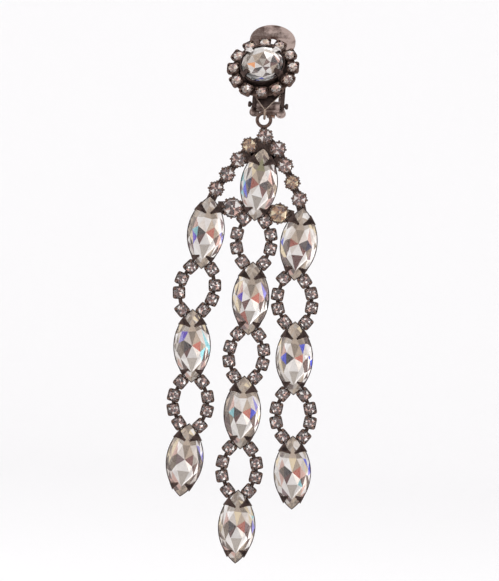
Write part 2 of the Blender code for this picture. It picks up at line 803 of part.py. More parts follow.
def strand(label, frame, y):
    """Navettes hung one below the other, each pair joined by the two side chains of a loop."""
    pitch = NAVETTE_LENGTH + LOOP_GAP
    rows = list(zip(STRANDS[label]["step"], STRANDS[label]["turn"]))
    first = 1 if label == "middle" else 2
    for k, (step, turn) in enumerate(rows):
        x, z = placed(frame, 0.0, 0.0) + pitch * along(step)
        lower = flat_frame(x, y, z, turn)
        ends = (1,) if k == len(rows) - 1 else (1, -1)
        number = first + k
        add_part(f"navette_setting_{label}_{number}", navette_setting(lower, turn, y, ends), DARK_METAL)
        navette_stone(f"navette_stone_{label}_{number}", lower)
        for side, hand in ((-1, "a"), (1, "b")):
            side_chain(f"chain_{label}_{k + 1}{hand}", frame, lower, side, y)
        frame = lower


DARK_METAL = ((0.045, 0.038, 0.034), 0.9, 0.38)
PEWTER = ((0.33, 0.29, 0.28), 0.9, 0.45)
CRYSTAL = ((0.78, 0.74, 0.69), 0.0, 0.06)

clear_scene()
EARRING = bpy.data.collections.new("chandelier_earring")
bpy.context.scene.collection.children.link(EARRING)
button_setting()
button_stone()
button_halo()
clip_lever()
clip_pin()
for strand_label, top_frame in crown().items():
    strand(strand_label, top_frame, hook_pivot().y)
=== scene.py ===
"""An old clip-on chandelier earring of foiled crystals in dark japanned settings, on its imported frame."""
import math

import bmesh
import bpy
import numpy as np
from mathutils import Matrix, Vector


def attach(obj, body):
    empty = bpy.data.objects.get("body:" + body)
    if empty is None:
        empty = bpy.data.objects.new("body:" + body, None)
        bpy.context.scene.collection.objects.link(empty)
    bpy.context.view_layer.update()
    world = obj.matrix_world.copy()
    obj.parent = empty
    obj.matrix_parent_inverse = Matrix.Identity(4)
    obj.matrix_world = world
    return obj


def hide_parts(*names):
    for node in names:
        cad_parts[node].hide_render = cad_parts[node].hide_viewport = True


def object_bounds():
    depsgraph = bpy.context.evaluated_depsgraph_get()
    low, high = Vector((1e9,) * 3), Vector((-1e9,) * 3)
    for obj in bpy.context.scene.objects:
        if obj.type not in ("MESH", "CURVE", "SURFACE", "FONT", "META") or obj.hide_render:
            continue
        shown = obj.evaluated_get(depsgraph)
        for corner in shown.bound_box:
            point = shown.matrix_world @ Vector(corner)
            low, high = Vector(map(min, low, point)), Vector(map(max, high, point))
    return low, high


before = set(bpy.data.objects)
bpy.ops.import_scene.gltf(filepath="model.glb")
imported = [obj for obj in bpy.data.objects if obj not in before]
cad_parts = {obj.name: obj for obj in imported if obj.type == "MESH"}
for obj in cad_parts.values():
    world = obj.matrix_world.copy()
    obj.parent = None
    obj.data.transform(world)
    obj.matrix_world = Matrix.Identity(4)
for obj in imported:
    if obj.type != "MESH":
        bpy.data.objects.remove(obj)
CAD_BOX = [list(corner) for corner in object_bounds()]
MM = 0.001


# Button setting. A round back plate carries the high collet of the big stone, whose four broad claws
# were folded in over it. Brass, soldered and japanned nearly black, rubbed to grey-brown on its edges.
TILT = math.radians(31.8)
YAW = math.radians(9.0)
BUTTON_ACROSS = 10.5 * MM
BUTTON_RISE = 1.5 * MM
PLATE_RADIUS = 7.0 * MM
PLATE_BACK = 1.9 * MM
PLATE_THICKNESS = 0.6 * MM
STONE_GAP = 0.12 * MM
WALL = 0.35 * MM
RIM = 0.3 * MM
CLIP_UP = np.array([0.0, math.sin(TILT), math.cos(TILT)])
CLIP_OUT = np.array([0.0, -math.cos(TILT), math.sin(TILT)])
CLIP_FORWARD = 5.1 * MM
CLIP_DROP = 3.0 * MM
FACE_ASIDE = 1.97 * MM
CLIP_CENTRE = CLIP_FORWARD * CLIP_OUT - CLIP_DROP * CLIP_UP
FACE_CENTRE = CLIP_CENTRE - np.array([FACE_ASIDE, 0.0, 0.0])


def plane(centre, right, up, out):
    """A local frame as a 4x4 array: its columns are right, up, out and the centre."""
    made = np.eye(4)
    made[:3] = np.stack([right, up, out, centre], axis=1)
    return made


def shifted(frame_of, x, y, z, turn=0.0):
    """The frame moved by x, y, z along its own axes, then turned about its own out axis by turn radians."""
    made = frame_of.copy()
    made[:3, 3] = frame_of[:3, :3] @ np.array([x, y, z]) + frame_of[:3, 3]
    c, s = math.cos(turn), math.sin(turn)
    made[:3, :3] = frame_of[:3, :3] @ np.array([[c, -s, 0.0], [s, c, 0.0], [0.0, 0.0, 1.0]])
    return made


def seat(shell, frame_of):
    """A shell carried from a local frame to the earring's own: points times the turn, plus the centre."""
    points, faces = shell
    return points @ frame_of[:3, :3].T + frame_of[:3, 3], faces


def circle(radius, count):
    """Points (count, 2) at even angles, clockwise from the top: (r sin t, r cos t)."""
    t = np.arange(count) * 2 * np.pi / count
    return radius * np.stack([np.sin(t), np.cos(t)], axis=1)


def grid_faces(rows, count, closed):
    """Four-sided faces of a grid of rows of count points: each point, the one beside it, that one's
    neighbour in the next row and its own. closed joins the last row to the first."""
    i, j = np.meshgrid(np.arange(rows if closed else rows - 1), np.arange(count), indexing="ij")
    i, j = i.ravel(), j.ravel()
    after, beside = (i + 1) % rows * count, (j + 1) % count
    return np.stack([i * count + j, i * count + beside, after + beside, after + j], axis=1)


def lathe(outline, profile, hollow=False):
    """A wall round an outline: for each (grow, z) of the profile, the outline grown by grow, at height z.
    hollow joins the last row to the first, otherwise both ends close in a fan on their own middle."""
    rows = np.array([np.column_stack([outline(g), np.full(len(outline(g)), z)]) for g, z in profile])
    m, n = rows.shape[:2]
    points = rows.reshape(-1, 3)
    quads = grid_faces(m, n, hollow)[:, [0, 3, 2, 1]]
    if hollow:
        return points, quads.tolist()
    low, high = rows[0].mean(axis=0), rows[-1].mean(axis=0)
    points = np.vstack([points, low, high])
    k = np.arange(n)
    first = np.stack([np.full(n, m * n), k, (k + 1) % n], axis=1)
    last = np.stack([np.full(n, m * n + 1), (m - 1) * n + (k + 1) % n, (m - 1) * n + k], axis=1)
    return points, quads.tolist() + first.tolist() + last.tolist()


def strap(path, across, half_widths, half_thick, count=8, closed=False, squareness=3.0):
    """A bent strip: at each point of the path, a rounded oblong |a|^p + |b|^p = 1 in the plane of across
    and of the normal, which is across times the path's direction, carried from end to end."""
    path = np.asarray(path, float)
    run = np.roll(path, -1, axis=0) - np.roll(path, 1, axis=0)
    if not closed:
        run[0], run[-1] = path[1] - path[0], path[-1] - path[-2]
    run /= np.linalg.norm(run, axis=1, keepdims=True)
    across = np.broadcast_to(np.asarray(across, float), path.shape)
    across = across - run * (across * run).sum(axis=1, keepdims=True)
    across = across / np.linalg.norm(across, axis=1, keepdims=True)
    normal = np.cross(across, run)
    t = (np.arange(count) + 0.5) * 2 * np.pi / count
    ring = np.stack([np.cos(t), np.sin(t)], axis=1)
    ring = np.sign(ring) * np.abs(ring) ** (2.0 / squareness)
    width = np.broadcast_to(half_widths, len(path))[:, None, None]
    thick = np.broadcast_to(half_thick, len(path))[:, None, None]
    rows = path[:, None] + ring[:, :1] * width * across[:, None] + ring[:, 1:] * thick * normal[:, None]
    faces = grid_faces(len(path), count, closed).tolist()
    if not closed:
        end = len(path) * count
        faces += [list(range(count))[::-1], list(range(end - count, end))]
    return rows.reshape(-1, 3), faces


FOLD_POINTS = 7
FOLD_TAPER = 0.9


def bent(*points):
    """A smooth path through three points: the quadratic curve that reaches the second one half way."""
    a, b, c = (np.asarray(p, float) for p in points)
    control = 2 * b - (a + c) / 2
    t = np.linspace(0, 1, FOLD_POINTS)[:, None]
    return (1 - t) ** 2 * a + 2 * t * (1 - t) * control + t**2 * c


def claw(foot, tip, out_wall, base_z, rim_z, tip_z, base, end, thick):
    """A folded claw: up the outside of the wall at foot, over the rim, and down on the stone at tip. Along
    its fold its width goes from base to end with the share^0.9 of the way."""
    foot, tip = np.asarray(foot, float), np.asarray(tip, float)
    inward = (tip - foot) / np.linalg.norm(tip - foot)
    edge = foot - inward * out_wall
    rise = np.array([[*edge, base_z], [*edge, 0.5 * base_z], [*edge, 0.6 * rim_z]])
    knee = foot + 0.3 * (tip - foot)
    fold = bent((*edge, rim_z), (*knee, rim_z + 0.55 * (tip_z - rim_z)), (*tip, tip_z))
    path = np.vstack([rise, fold])
    taper = base + (end - base) * np.linspace(0, 1, FOLD_POINTS) ** FOLD_TAPER
    width = np.concatenate([np.full(len(rise), base), taper]) / 2
    side = np.array([-inward[1], inward[0], 0.0])
    return strap(path, side, width, np.full(len(path), thick / 2), count=10, squareness=4.0)


def placed(name, data):
    """A new object of the scene with the given mesh, light or camera."""
    made = bpy.data.objects.new(name, data)
    bpy.context.scene.collection.objects.link(made)
    return made


def piece(name, shells, material, body, stands_for=(), angle=40.0, tints=None, darker=()):
    """One named piece from several shells: joined as arrays, shaded flat for stones (angle 0), put on its
    body and given its material; the CAD nodes that it stands for are hidden. The shells in darker are
    japanned, so they show the darker finish."""
    light_faces = sum(len(fs) for _, fs in shells)
    shells = [*shells, *darker]
    starts = np.cumsum([0] + [len(points) for points, _ in shells])
    points = np.vstack([points for points, _ in shells])
    faces = [[int(v) + int(start) for v in face] for (_, fs), start in zip(shells, starts) for face in fs]
    mesh = bpy.data.meshes.new(name)
    mesh.from_pydata(points.tolist(), [], faces)
    solid = bmesh.new()
    solid.from_mesh(mesh)
    bmesh.ops.recalc_face_normals(solid, faces=solid.faces)
    solid.to_mesh(mesh)
    solid.free()
    if tints is not None:
        layer = mesh.attributes.new("facet_painted_reflection", "FLOAT_COLOR", "FACE")
        layer.data.foreach_set("color", np.asarray(tints, np.float32).ravel())
    if angle:
        mesh.shade_smooth()
        mesh.set_sharp_from_angle(angle=math.radians(angle))
    mesh.materials.append(material)
    if darker:
        mesh.materials.append(JAPANNED)
        mesh.polygons.foreach_set("material_index", (np.arange(len(faces)) >= light_faces).astype(np.int32))
    made = placed(name, mesh)
    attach(made, body)
    if stands_for:
        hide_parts(*stands_for)


def display(red, green, blue):
    """Linear colour (r, g, b, 1) of a shade as it is seen on a screen, from 0 to 255."""
    seen = np.array([red, green, blue]) / 255.0
    return (*np.where(seen <= 0.04045, seen / 12.92, ((seen + 0.055) / 1.055) ** 2.4).tolist(), 1.0)


def noise(tree, scale, detail=3.0):
    """A noise texture on Object coordinates; scale is in patches to a metre."""
    where = tree.nodes.new("ShaderNodeTexCoord")
    made = tree.nodes.new("ShaderNodeTexNoise")
    made.inputs["Scale"].default_value = scale
    made.inputs["Detail"].default_value = detail
    made.inputs["Roughness"].default_value = 0.55
    tree.links.new(where.outputs["Object"], made.inputs["Vector"])
    return made


def remap(tree, value, low, high, to_low=0.0, to_high=1.0):
    """A value carried from the range low to high into another one, and held at its ends."""
    made = tree.nodes.new("ShaderNodeMapRange")
    for label, number in (("From Min", low), ("From Max", high), ("To Min", to_low), ("To Max", to_high)):
        made.inputs[label].default_value = number
    tree.links.new(value, made.inputs["Value"])
    return made.outputs["Result"]


def maths(tree, operation, *values):
    """The result of a Math node fed by the given sockets."""
    made = tree.nodes.new("ShaderNodeMath")
    made.operation = operation
    for socket, value in zip(made.inputs, values):
        tree.links.new(value, socket)
    return made.outputs[0]


def mixed(tree, factor, first, second):
    """Two colours mixed by a mask; each is a socket or a plain colour."""
    made = tree.nodes.new("ShaderNodeMix")
    made.data_type = "RGBA"
    tree.links.new(factor, made.inputs["Factor"])
    for socket, value in ((made.inputs["A"], first), (made.inputs["B"], second)):
        if isinstance(value, bpy.types.NodeSocket):
            tree.links.new(value, socket)
        else:
            socket.default_value = value
    return made.outputs["Result"]


FINE_SPECKS = 4200.0


def patina_group():
    """Old metal: patches of two tones by a cloudy noise, with Side more of the second one to the right, which
    paints a lighter side; a third tone where edges are rubbed bare, and a pitted height. The third tone shows
    where the surface bulges and a finer noise lets it; on the cups and the upper claws it is also a painted
    highlight."""
    group = bpy.data.node_groups.new("old_patina", "ShaderNodeTree")
    for way, kind, labels in (
        ("INPUT", "NodeSocketColor", ("Ground", "Bloom", "Bare")),
        ("INPUT", "NodeSocketFloat", ("Patches", "Bare Amount", "Side")),
        ("OUTPUT", "NodeSocketColor", ("Color",)), ("OUTPUT", "NodeSocketFloat", ("Roughness", "Height")),
    ):
        for label in labels:
            group.interface.new_socket(label, in_out=way, socket_type=kind)
    start, end = (group.nodes.new(kind) for kind in ("NodeGroupInput", "NodeGroupOutput"))
    cloud = noise(group, 1.0)
    group.links.new(start.outputs["Patches"], cloud.inputs["Scale"])
    fine = noise(group, FINE_SPECKS, 2.0)
    where = group.nodes.new("ShaderNodeTexCoord")
    apart = group.nodes.new("ShaderNodeSeparateXYZ")
    group.links.new(where.outputs["Object"], apart.inputs[0])
    side = maths(group, "MULTIPLY_ADD", apart.outputs["X"], start.outputs["Side"], cloud.outputs["Fac"])
    patch = remap(group, side, 0.42, 0.6)
    tone = mixed(group, patch, start.outputs["Ground"], start.outputs["Bloom"])
    shape = group.nodes.new("ShaderNodeNewGeometry")
    bulge = remap(group, shape.outputs["Pointiness"], 0.505, 0.60)
    speck = remap(group, fine.outputs["Fac"], 0.35, 0.6)
    wear_and_highlight = maths(group, "MULTIPLY", maths(group, "MULTIPLY", bulge, speck), start.outputs["Bare Amount"])
    colour = mixed(group, wear_and_highlight, tone, start.outputs["Bare"])
    group.links.new(colour, end.inputs["Color"])
    group.links.new(remap(group, fine.outputs["Fac"], 0.3, 0.7, 0.28, 0.50), end.inputs["Roughness"])
    group.links.new(fine.outputs["Fac"], end.inputs["Height"])
    return group


def principled(name):
    """A new material, its node tree and its Principled shader."""
    made = bpy.data.materials.new(name)
    made.use_nodes = True
    return made, made.node_tree, made.node_tree.nodes["Principled BSDF"]


PATINA = patina_group()
PIT_DEPTH = 0.03 * MM
METAL_SHEEN = (0.45, 0.41, 0.40, 1.0)


def old_metal(name, ground, bloom, bare, patches, bare_amount, metallic, side=0.0):
    """A material of old metal: the patina's colour, roughness and pits on a metallic shader. Its three
    colours are as a screen shows them, patches is how many there are to a metre, and bare_amount is how
    much of the bare tone shows: rubbed metal, and on the cups and upper claws also a painted highlight."""
    made, tree, shader = principled(name)
    shader.inputs["Metallic"].default_value = metallic
    shader.inputs["Specular IOR Level"].default_value = 0.35
    shader.inputs["Specular Tint"].default_value = METAL_SHEEN
    worn = tree.nodes.new("ShaderNodeGroup")
    worn.node_tree = PATINA
    for label, shade in (("Ground", ground), ("Bloom", bloom), ("Bare", bare)):
        worn.inputs[label].default_value = display(*shade)
    for label, value in (("Patches", patches), ("Bare Amount", bare_amount), ("Side", side)):
        worn.inputs[label].default_value = value
    tree.links.new(worn.outputs["Color"], shader.inputs["Base Color"])
    tree.links.new(worn.outputs["Roughness"], shader.inputs["Roughness"])
    pits = tree.nodes.new("ShaderNodeBump")
    pits.inputs["Distance"].default_value = PIT_DEPTH
    pits.inputs["Strength"].default_value = 0.6
    tree.links.new(worn.outputs["Height"], pits.inputs["Height"])
    tree.links.new(pits.outputs["Normal"], shader.inputs["Normal"])
    return made


JAPANNED = old_metal("japanned_brass", (34, 26, 25), (64, 51, 48), (116, 98, 89), 900.0, 0.45, 0.6)
RIGHT = np.array([1.0, 0.0, 0.0])
clip_plane = plane(CLIP_CENTRE, RIGHT, CLIP_UP, CLIP_OUT)
face_right = math.cos(YAW) * RIGHT + math.sin(YAW) * CLIP_OUT
face_out = math.cos(YAW) * CLIP_OUT - math.sin(YAW) * RIGHT
face_plane = plane(FACE_CENTRE, face_right, CLIP_UP, face_out)
plate_front = PLATE_THICKNESS - PLATE_BACK


def collet():
    """The big stone's raised wall, spread from its foot in the plate to a rounded rim."""
    inner = BUTTON_ACROSS / 2 + STONE_GAP
    outer = inner + WALL
    foot = plate_front - 0.2 * MM
    profile = [
        (0.72 * inner, foot), (0.88 * outer, foot), (0.97 * outer, BUTTON_RISE - 0.7 * MM),
        (outer, BUTTON_RISE + 0.1 * MM), (outer - 0.05 * MM, BUTTON_RISE + 0.26 * MM),
        (outer - 0.17 * MM, BUTTON_RISE + RIM), (inner + 0.05 * MM, BUTTON_RISE + 0.26 * MM),
        (inner, BUTTON_RISE + 0.1 * MM), (inner, BUTTON_RISE - RIM),
    ]
    return lathe(lambda g: circle(g, 64), profile, hollow=True)


def button_claws(turns, base):
    """Claws folded in over the crown at the given angles clockwise from the top, in degrees."""
    made = []
    for a in np.radians(turns):
        way = np.array([math.sin(a), math.cos(a)])
        shell = claw(
            way * (BUTTON_ACROSS / 2 + 0.3 * MM), way * (BUTTON_ACROSS / 2 - 1.2 * MM), out_wall=0.3 * MM,
            base_z=-1.4 * MM, rim_z=0.35 * MM, tip_z=1.02 * MM, base=base, end=0.9 * MM, thick=0.3 * MM,
        )
        made.append(seat(shell, shifted(face_plane, 0, 0, BUTTON_RISE)))
    return made


PLATE_SOFT = 0.22 * MM
LOWER_CLAW = 2.0 * MM
# The plate's rounded edge from its back, as shares of PLATE_SOFT in and up. Its front edge mirrors it.
EDGE = ((-1.0, 0.0), (-0.3, 0.25), (0.0, 1.0))
plate_profile = [(x * PLATE_SOFT, -PLATE_BACK + y * PLATE_SOFT) for x, y in EDGE]
plate_profile += [(x * PLATE_SOFT, plate_front - y * PLATE_SOFT) for x, y in EDGE[::-1]]
back_plate = lathe(lambda g: circle(PLATE_RADIUS + g, 72), plate_profile)
button_shells = [seat(back_plate, face_plane), seat(collet(), face_plane)]
button_shells += button_claws((125, 235), LOWER_CLAW)


def sheet_metal(outlines, thick, soft):
    """A flat sheet with rounded edges, cut to closed outlines, the later ones holes: Blender's flat curve,
    extruded by half its thickness both ways and bevelled by soft, read back as arrays."""
    curve = bpy.data.curves.new("cut", "CURVE")
    curve.dimensions = "2D"
    curve.fill_mode = "BOTH"
    curve.extrude = thick / 2 - soft
    curve.bevel_depth = soft
    curve.bevel_resolution = 2
    curve.offset = -soft
    for outline in outlines:
        spline = curve.splines.new("POLY")
        spline.points.add(len(outline) - 1)
        spline.points.foreach_set("co", [v for x, y in outline for v in (x, y, 0.0, 1.0)])
        spline.use_cyclic_u = True
    made = bpy.data.objects.new("cut", curve)
    mesh = bpy.data.meshes.new_from_object(made)
    points = np.array([v.co[:] for v in mesh.vertices])
    faces = [list(p.vertices) for p in mesh.polygons]
    bpy.data.objects.remove(made)
    bpy.data.curves.remove(curve)
    bpy.data.meshes.remove(mesh)
    return points, faces


def arc(x, y, radius, start, end, count):
    """Points on a circle about (x, y), from the start angle to the end one, in degrees from the x axis."""
    a = np.radians(np.linspace(start, end, count))
    return np.column_stack([x + radius * np.cos(a), y + radius * np.sin(a)])


PIN_Y, PIN_Z = -8.2 * MM, -4.6 * MM
EAR_RADIUS, PIN_HOLE, EAR_THICK, EAR_ASIDE = 1.0 * MM, 0.5 * MM, 1.0 * MM, 3.55 * MM
BASE_HALF, BASE_LOW, BASE_HIGH, BASE_THICK = 4.05 * MM, -6.9 * MM, -2.9 * MM, 0.8 * MM
SHEET_SOFT = 0.12 * MM
PIVOT = CLIP_CENTRE + np.array([-0.7, -5.0, -11.66]) * MM
upright = plane(CLIP_CENTRE, CLIP_OUT, CLIP_UP, -RIGHT)
ear_outline = np.vstack([
    np.array([(-1.5, -3.3), (-2.7, -3.0)]) * MM, arc(PIN_Z, PIN_Y, EAR_RADIUS, 165, 330, 12),
    [(-1.5 * MM, -6.4 * MM)],
])
for side in (-1, 1):
    ear = sheet_metal([ear_outline, arc(PIN_Z, PIN_Y, PIN_HOLE, 0, 345, 24)], EAR_THICK, SHEET_SOFT)
    button_shells.append(seat(ear, shifted(upright, 0, 0, -side * EAR_ASIDE)))
base_outline = [
    (-BASE_HALF, BASE_LOW), (BASE_HALF, BASE_LOW), (BASE_HALF, BASE_HIGH), (-BASE_HALF, BASE_HIGH),
]
base = sheet_metal([base_outline], BASE_THICK, SHEET_SOFT)
button_shells.append(seat(base, shifted(clip_plane, 0, 0, -PLATE_BACK - 0.25 * MM)))

# The hook tab is a V of sheet, a little wider to the right.
TAB_X, TAB_TIP, TAB_TOP = -0.7 * MM, -11.5 * MM, -5.2 * MM
TAB_TIP_HALF, TAB_THICK, TAB_SOFT = 0.33 * MM, 0.42 * MM, 0.08 * MM
TAB_SIDES = ((-1, 3.1 * MM, -7.3 * MM), (1, 3.5 * MM, -7.0 * MM))
tab_outline = [
    (TAB_X + side * x, y)
    for side, wide, corner in TAB_SIDES
    for x, y in ((wide, TAB_TOP), (wide, corner), (TAB_TIP_HALF, TAB_TIP))[::-side]
]
tab_plane = shifted(clip_plane, 0, 0, -PLATE_BACK + PLATE_THICKNESS / 2)
button_shells.append(seat(sheet_metal([tab_outline[::-1]], TAB_THICK, TAB_SOFT), tab_plane))
piece("button_setting_metal", button_shells, JAPANNED, "button", ["button_setting"])

RUBBED = old_metal("rubbed_brass_edge", (112, 98, 90), (168, 154, 146), (196, 178, 160), 1800.0, 0.8, 0.85)
RUB_TOP, RUB_TIP_HALF, RUB_HALF, RUB_OUT = -6.4 * MM, 0.28 * MM, 0.11 * MM, 0.16 * MM
edges = []
for side, wide, corner in TAB_SIDES:
    half_way = (TAB_X + side * (wide + RUB_TIP_HALF) / 2, (corner + TAB_TIP) / 2)
    rows = np.array([
        (TAB_X + side * wide, RUB_TOP), (TAB_X + side * wide, corner), half_way,
        (TAB_X + side * RUB_TIP_HALF, TAB_TIP),
    ])
    path = np.column_stack([rows, np.full(len(rows), RUB_OUT)])
    edges.append(seat(strap(path, (0, 0, 1.0), RUB_HALF, RUB_HALF, 8, squareness=2.0), tab_plane))
piece("tab_edges", edges, RUBBED, "button")

# The hook is a loop of wire through the jump ring and round the tab's tip. Its lower half is an oval.
HOOK_METAL = old_metal("brown_hook", (84, 68, 62), (122, 104, 94), (190, 170, 152), 1500.0, 0.8, 0.8)
HOOK_REACH, HOOK_DROP, HOOK_WIRE = 0.81 * MM, 1.6, 0.33 * MM
tip = (tab_plane @ np.array([TAB_X, TAB_TIP, 0.0, 1.0]))[:3]
a = np.linspace(0, -np.pi, 13)
low_turn = PIVOT + HOOK_REACH * np.column_stack([0 * a, np.cos(a), HOOK_DROP * np.sin(a)])
high_turn = [
    (PIVOT[0], PIVOT[1] - 0.9 * HOOK_REACH, PIVOT[2] + HOOK_REACH),
    (PIVOT[0], tip[1] - 0.1 * MM, tip[2] + 0.1 * MM), (PIVOT[0], tip[1] + 0.25 * MM, tip[2] + 0.33 * MM),
    (PIVOT[0], PIVOT[1] + 0.9 * HOOK_REACH, PIVOT[2] + 0.9 * HOOK_REACH),
]
hook_path = np.vstack([low_turn, high_turn])
hook = strap(hook_path, RIGHT, HOOK_WIRE, HOOK_WIRE, 10, closed=True, squareness=2.0)
piece("hook_loop", [hook], HOOK_METAL, "button")

# The two upper claws are the same japanned brass as the lower ones, painted near white: a little rubbed
# metal, mostly a painted highlight.
UPPER_CLAW = 1.9 * MM
CLAW_HIGHLIGHT = old_metal("claws_painted_highlight", (206, 198, 194), (244, 240, 238), (252, 250, 248), 1100.0, 0.6, 0.9)
piece("upper_claws_painted_highlight", button_claws((40, 320), UPPER_CLAW), CLAW_HIGHLIGHT, "button")


# Button stone. A big round crystal of lead glass, cut with a table and eight main facets and foiled at its
# back. The claws hold it. It is two pieces: the clear cut glass and the foil that shines through it.
STAR_TURNS = {
    "round": (np.array([22.5, 67.5, 112.5, 157.5]), np.array([0.0, 45.0, 90.0, 135.0, 180.0])),
    "navette": (np.array([38.0, 72.0, 108.0, 132.0]), np.array([0.0, 54.0, 90.0, 122.0, 180.0])),
}
# The shades painted on the foils' facets: painted reflections, white glints and colour flashes, and the
# golden stones' own colour.
SHADES = {name: display(*shade) for name, shade in {
    "white": (254, 252, 250), "pearl": (236, 230, 224), "ash": (202, 195, 187), "beige": (202, 187, 170),
    "taupe": (162, 147, 132), "greige": (138, 121, 108), "mushroom": (114, 84, 76), "slate": (74, 60, 62),
    "ink": (48, 40, 50), "terracotta": (182, 106, 88), "rosewood": (122, 70, 64), "sand": (208, 180, 150),
    "honey": (182, 144, 110), "olive": (166, 162, 118), "cream": (248, 234, 204), "blush": (222, 190, 180),
    "peach": (255, 186, 128), "lilac": (172, 166, 238), "ice": (168, 226, 234), "blue": (84, 98, 232),
    "violet": (112, 76, 206), "navy": (56, 56, 104), "mauve": (150, 126, 128),
}.items()}
# Old pressed stones are uneven: the foil's corners stray by up to this many degrees.
UNEVEN = 5.0
# At a share r of the outline the foil's bowl is as deep as this power of 1 - r, within SINK_SPREAD.
BOWL_POWER = 1.6
SINK_SPREAD = 0.08
# How much brighter or darker each facet's painted reflection is drawn, and the power that makes up for the
# white room's reflection in the glass.
REFLECTION_SPREAD = (0.84, 1.06)
VEIL_DEPTH = 1.3
FOIL_BACK = display(112, 98, 84)
# The foil's thickness, and the share of the bowl's depth that is added to it.
FOIL_THICK, FOIL_THICKER = 0.02 * MM, 0.06
# Half the girdle's height as a share of a stone's width, and the gap between a stone and its foil.
GIRDLE_SHARE = 0.012
FOIL_GAP = 0.03 * MM
# The crown's table and its middle ring, as shares of the outline and of the crown's height.
TABLE = 0.64
MIDDLE_HEIGHT = 0.53


def mirrored_turns(right):
    """Angles all round from those of the right-hand side, which run from the top down."""
    return np.concatenate([right, 360.0 - right[::-1][int(right[-1] == 180.0):]])[:8]


def foil_bowl(outline_at, kind, depth, top, patterns, draws):
    """The foiled back as a thin bowl of flat facets: points at share r of the outline lie
    depth * (1 - r)^BOWL_POWER below its rim. A middle point and rings of 8, 8, 16 and 16 points, each
    ring's points between those of the ring inside it. Eight triangles meet in the middle; round them come
    eight that point outwards, eight inwards, a belt of 24, and 32 along the rim. The shades of the belt
    and the rim are drawn from their sector's own list."""
    inner, middle = (mirrored_turns(turns) for turns in STAR_TURNS[kind])
    rim = np.stack([middle, (middle + np.append(middle[1:], 360.0)) / 2], axis=1).ravel()
    outer = (rim + np.append(rim[1:], 360.0)) / 2
    rows = []
    for turns, share in ((np.zeros(1), 0.0), (inner, patterns["star"]), (middle, patterns["girdle"]),
                         (outer, 0.5 + patterns["girdle"] / 2), (rim, 1.0)):
        stray = draws.uniform(-UNEVEN, UNEVEN, len(turns)) if share < 1 else 0
        spread = draws.uniform(-SINK_SPREAD, SINK_SPREAD, len(turns))
        sink = depth * (1 - share) ** BOWL_POWER * (1 + spread)
        rows.append(np.column_stack([outline_at(turns + stray, share), top - sink]))
    front = np.vstack(rows)
    k, i = np.arange(8), np.arange(16)
    before, after = (k - 1) % 8, (k + 1) % 8
    star, girdle, outside, edge_of = 1 + k, 9 + k, 17 + 2 * k, 33 + i
    facets = np.vstack([np.column_stack(corners) for corners in (
        (0 * k, 1 + before, star), (1 + before, girdle, star), (star, girdle, 9 + after),
        (girdle, 17 + (2 * k - 1) % 16, outside), (girdle, outside, outside + 1),
        (girdle, outside + 1, 9 + after), (17 + (i - 1) % 16, edge_of, 17 + i),
        (17 + i, edge_of, 33 + (i + 1) % 16),
    )])
    edge, fringe, belt = (
        [str(draws.choice(patterns["edge"][(panel + 1) // 2 % 8])) for panel in range(16)] for _ in range(3)
    )
    names = [*patterns["star_shades"], *patterns["outward"], *patterns["inward"],
             *edge[::2], *edge[1::2], *belt[1::2], *fringe, *edge]
    tints = np.array([SHADES[name] for name in names])
    tints[:, :3] = (tints[:, :3] * draws.uniform(*REFLECTION_SPREAD, (len(tints), 1))) ** VEIL_DEPTH
    back = front - [0.0, 0.0, FOIL_THICKER * depth + FOIL_THICK]
    n = len(front)
    side = np.column_stack([33 + i, 33 + (i + 1) % 16, 33 + (i + 1) % 16 + n, 33 + i + n])
    faces = facets.tolist() + (facets[:, ::-1] + n).tolist() + side.tolist()
    dull = np.tile(FOIL_BACK, (len(facets) + 16, 1))
    return (np.vstack([front, back]), faces), np.vstack([np.clip(tints, 0, 1), dull])


def cut_glass(outline_at, kind, low, girdle, height):
    """The clear stone: a flat back, a thin girdle and a cut crown. The table is eight-sided; round it lie
    eight small triangles, eight kites to the girdle, each of two triangles, and sixteen girdle facets."""
    middle = mirrored_turns(STAR_TURNS[kind][1])
    between = (middle + np.append(middle[1:], 360.0)) / 2
    rim = np.stack([middle, between], axis=1).ravel()
    belt = girdle + MIDDLE_HEIGHT * (height - girdle)
    rows = [
        np.column_stack([outline_at(turns, share), np.full(len(turns), z)])
        for turns, share, z in ((rim, 1.0, low), (rim, 1.0, girdle), (between, 0.5 + TABLE / 2, belt),
                                (middle, TABLE, height))
    ]
    k, r = np.arange(8), np.arange(16)
    after = (k + 1) % 8
    faces = [list(range(16))[::-1], list(range(40, 48))]
    for corners in (
        (r, (r + 1) % 16, 16 + (r + 1) % 16, 16 + r), (40 + k, 32 + k, 40 + after),
        (40 + k, 32 + (k - 1) % 8, 16 + 2 * k), (40 + k, 16 + 2 * k, 32 + k),
        (32 + k, 16 + 2 * k, 17 + 2 * k), (32 + k, 17 + 2 * k, 16 + (2 * k + 2) % 16),
    ):
        faces += np.column_stack(corners).tolist()
    return np.vstack(rows), faces


GLASS_TINT = (1.0, 0.985, 0.98, 1.0)
GLASS_IOR = 1.54
FOIL_DUST = display(150, 138, 126)


def clear_crystal():
    """Clear lead glass, a trace warm, with fine rubbed scratches in its roughness."""
    made, tree, shader = principled("clear_crystal")
    shader.inputs["Base Color"].default_value = GLASS_TINT
    shader.inputs["Transmission Weight"].default_value = 1.0
    shader.inputs["IOR"].default_value = GLASS_IOR
    scuffs = noise(tree, 5200.0, 2.0)
    tree.links.new(remap(tree, scuffs.outputs["Fac"], 0.3, 0.7, 0.003, 0.01), shader.inputs["Roughness"])
    return made


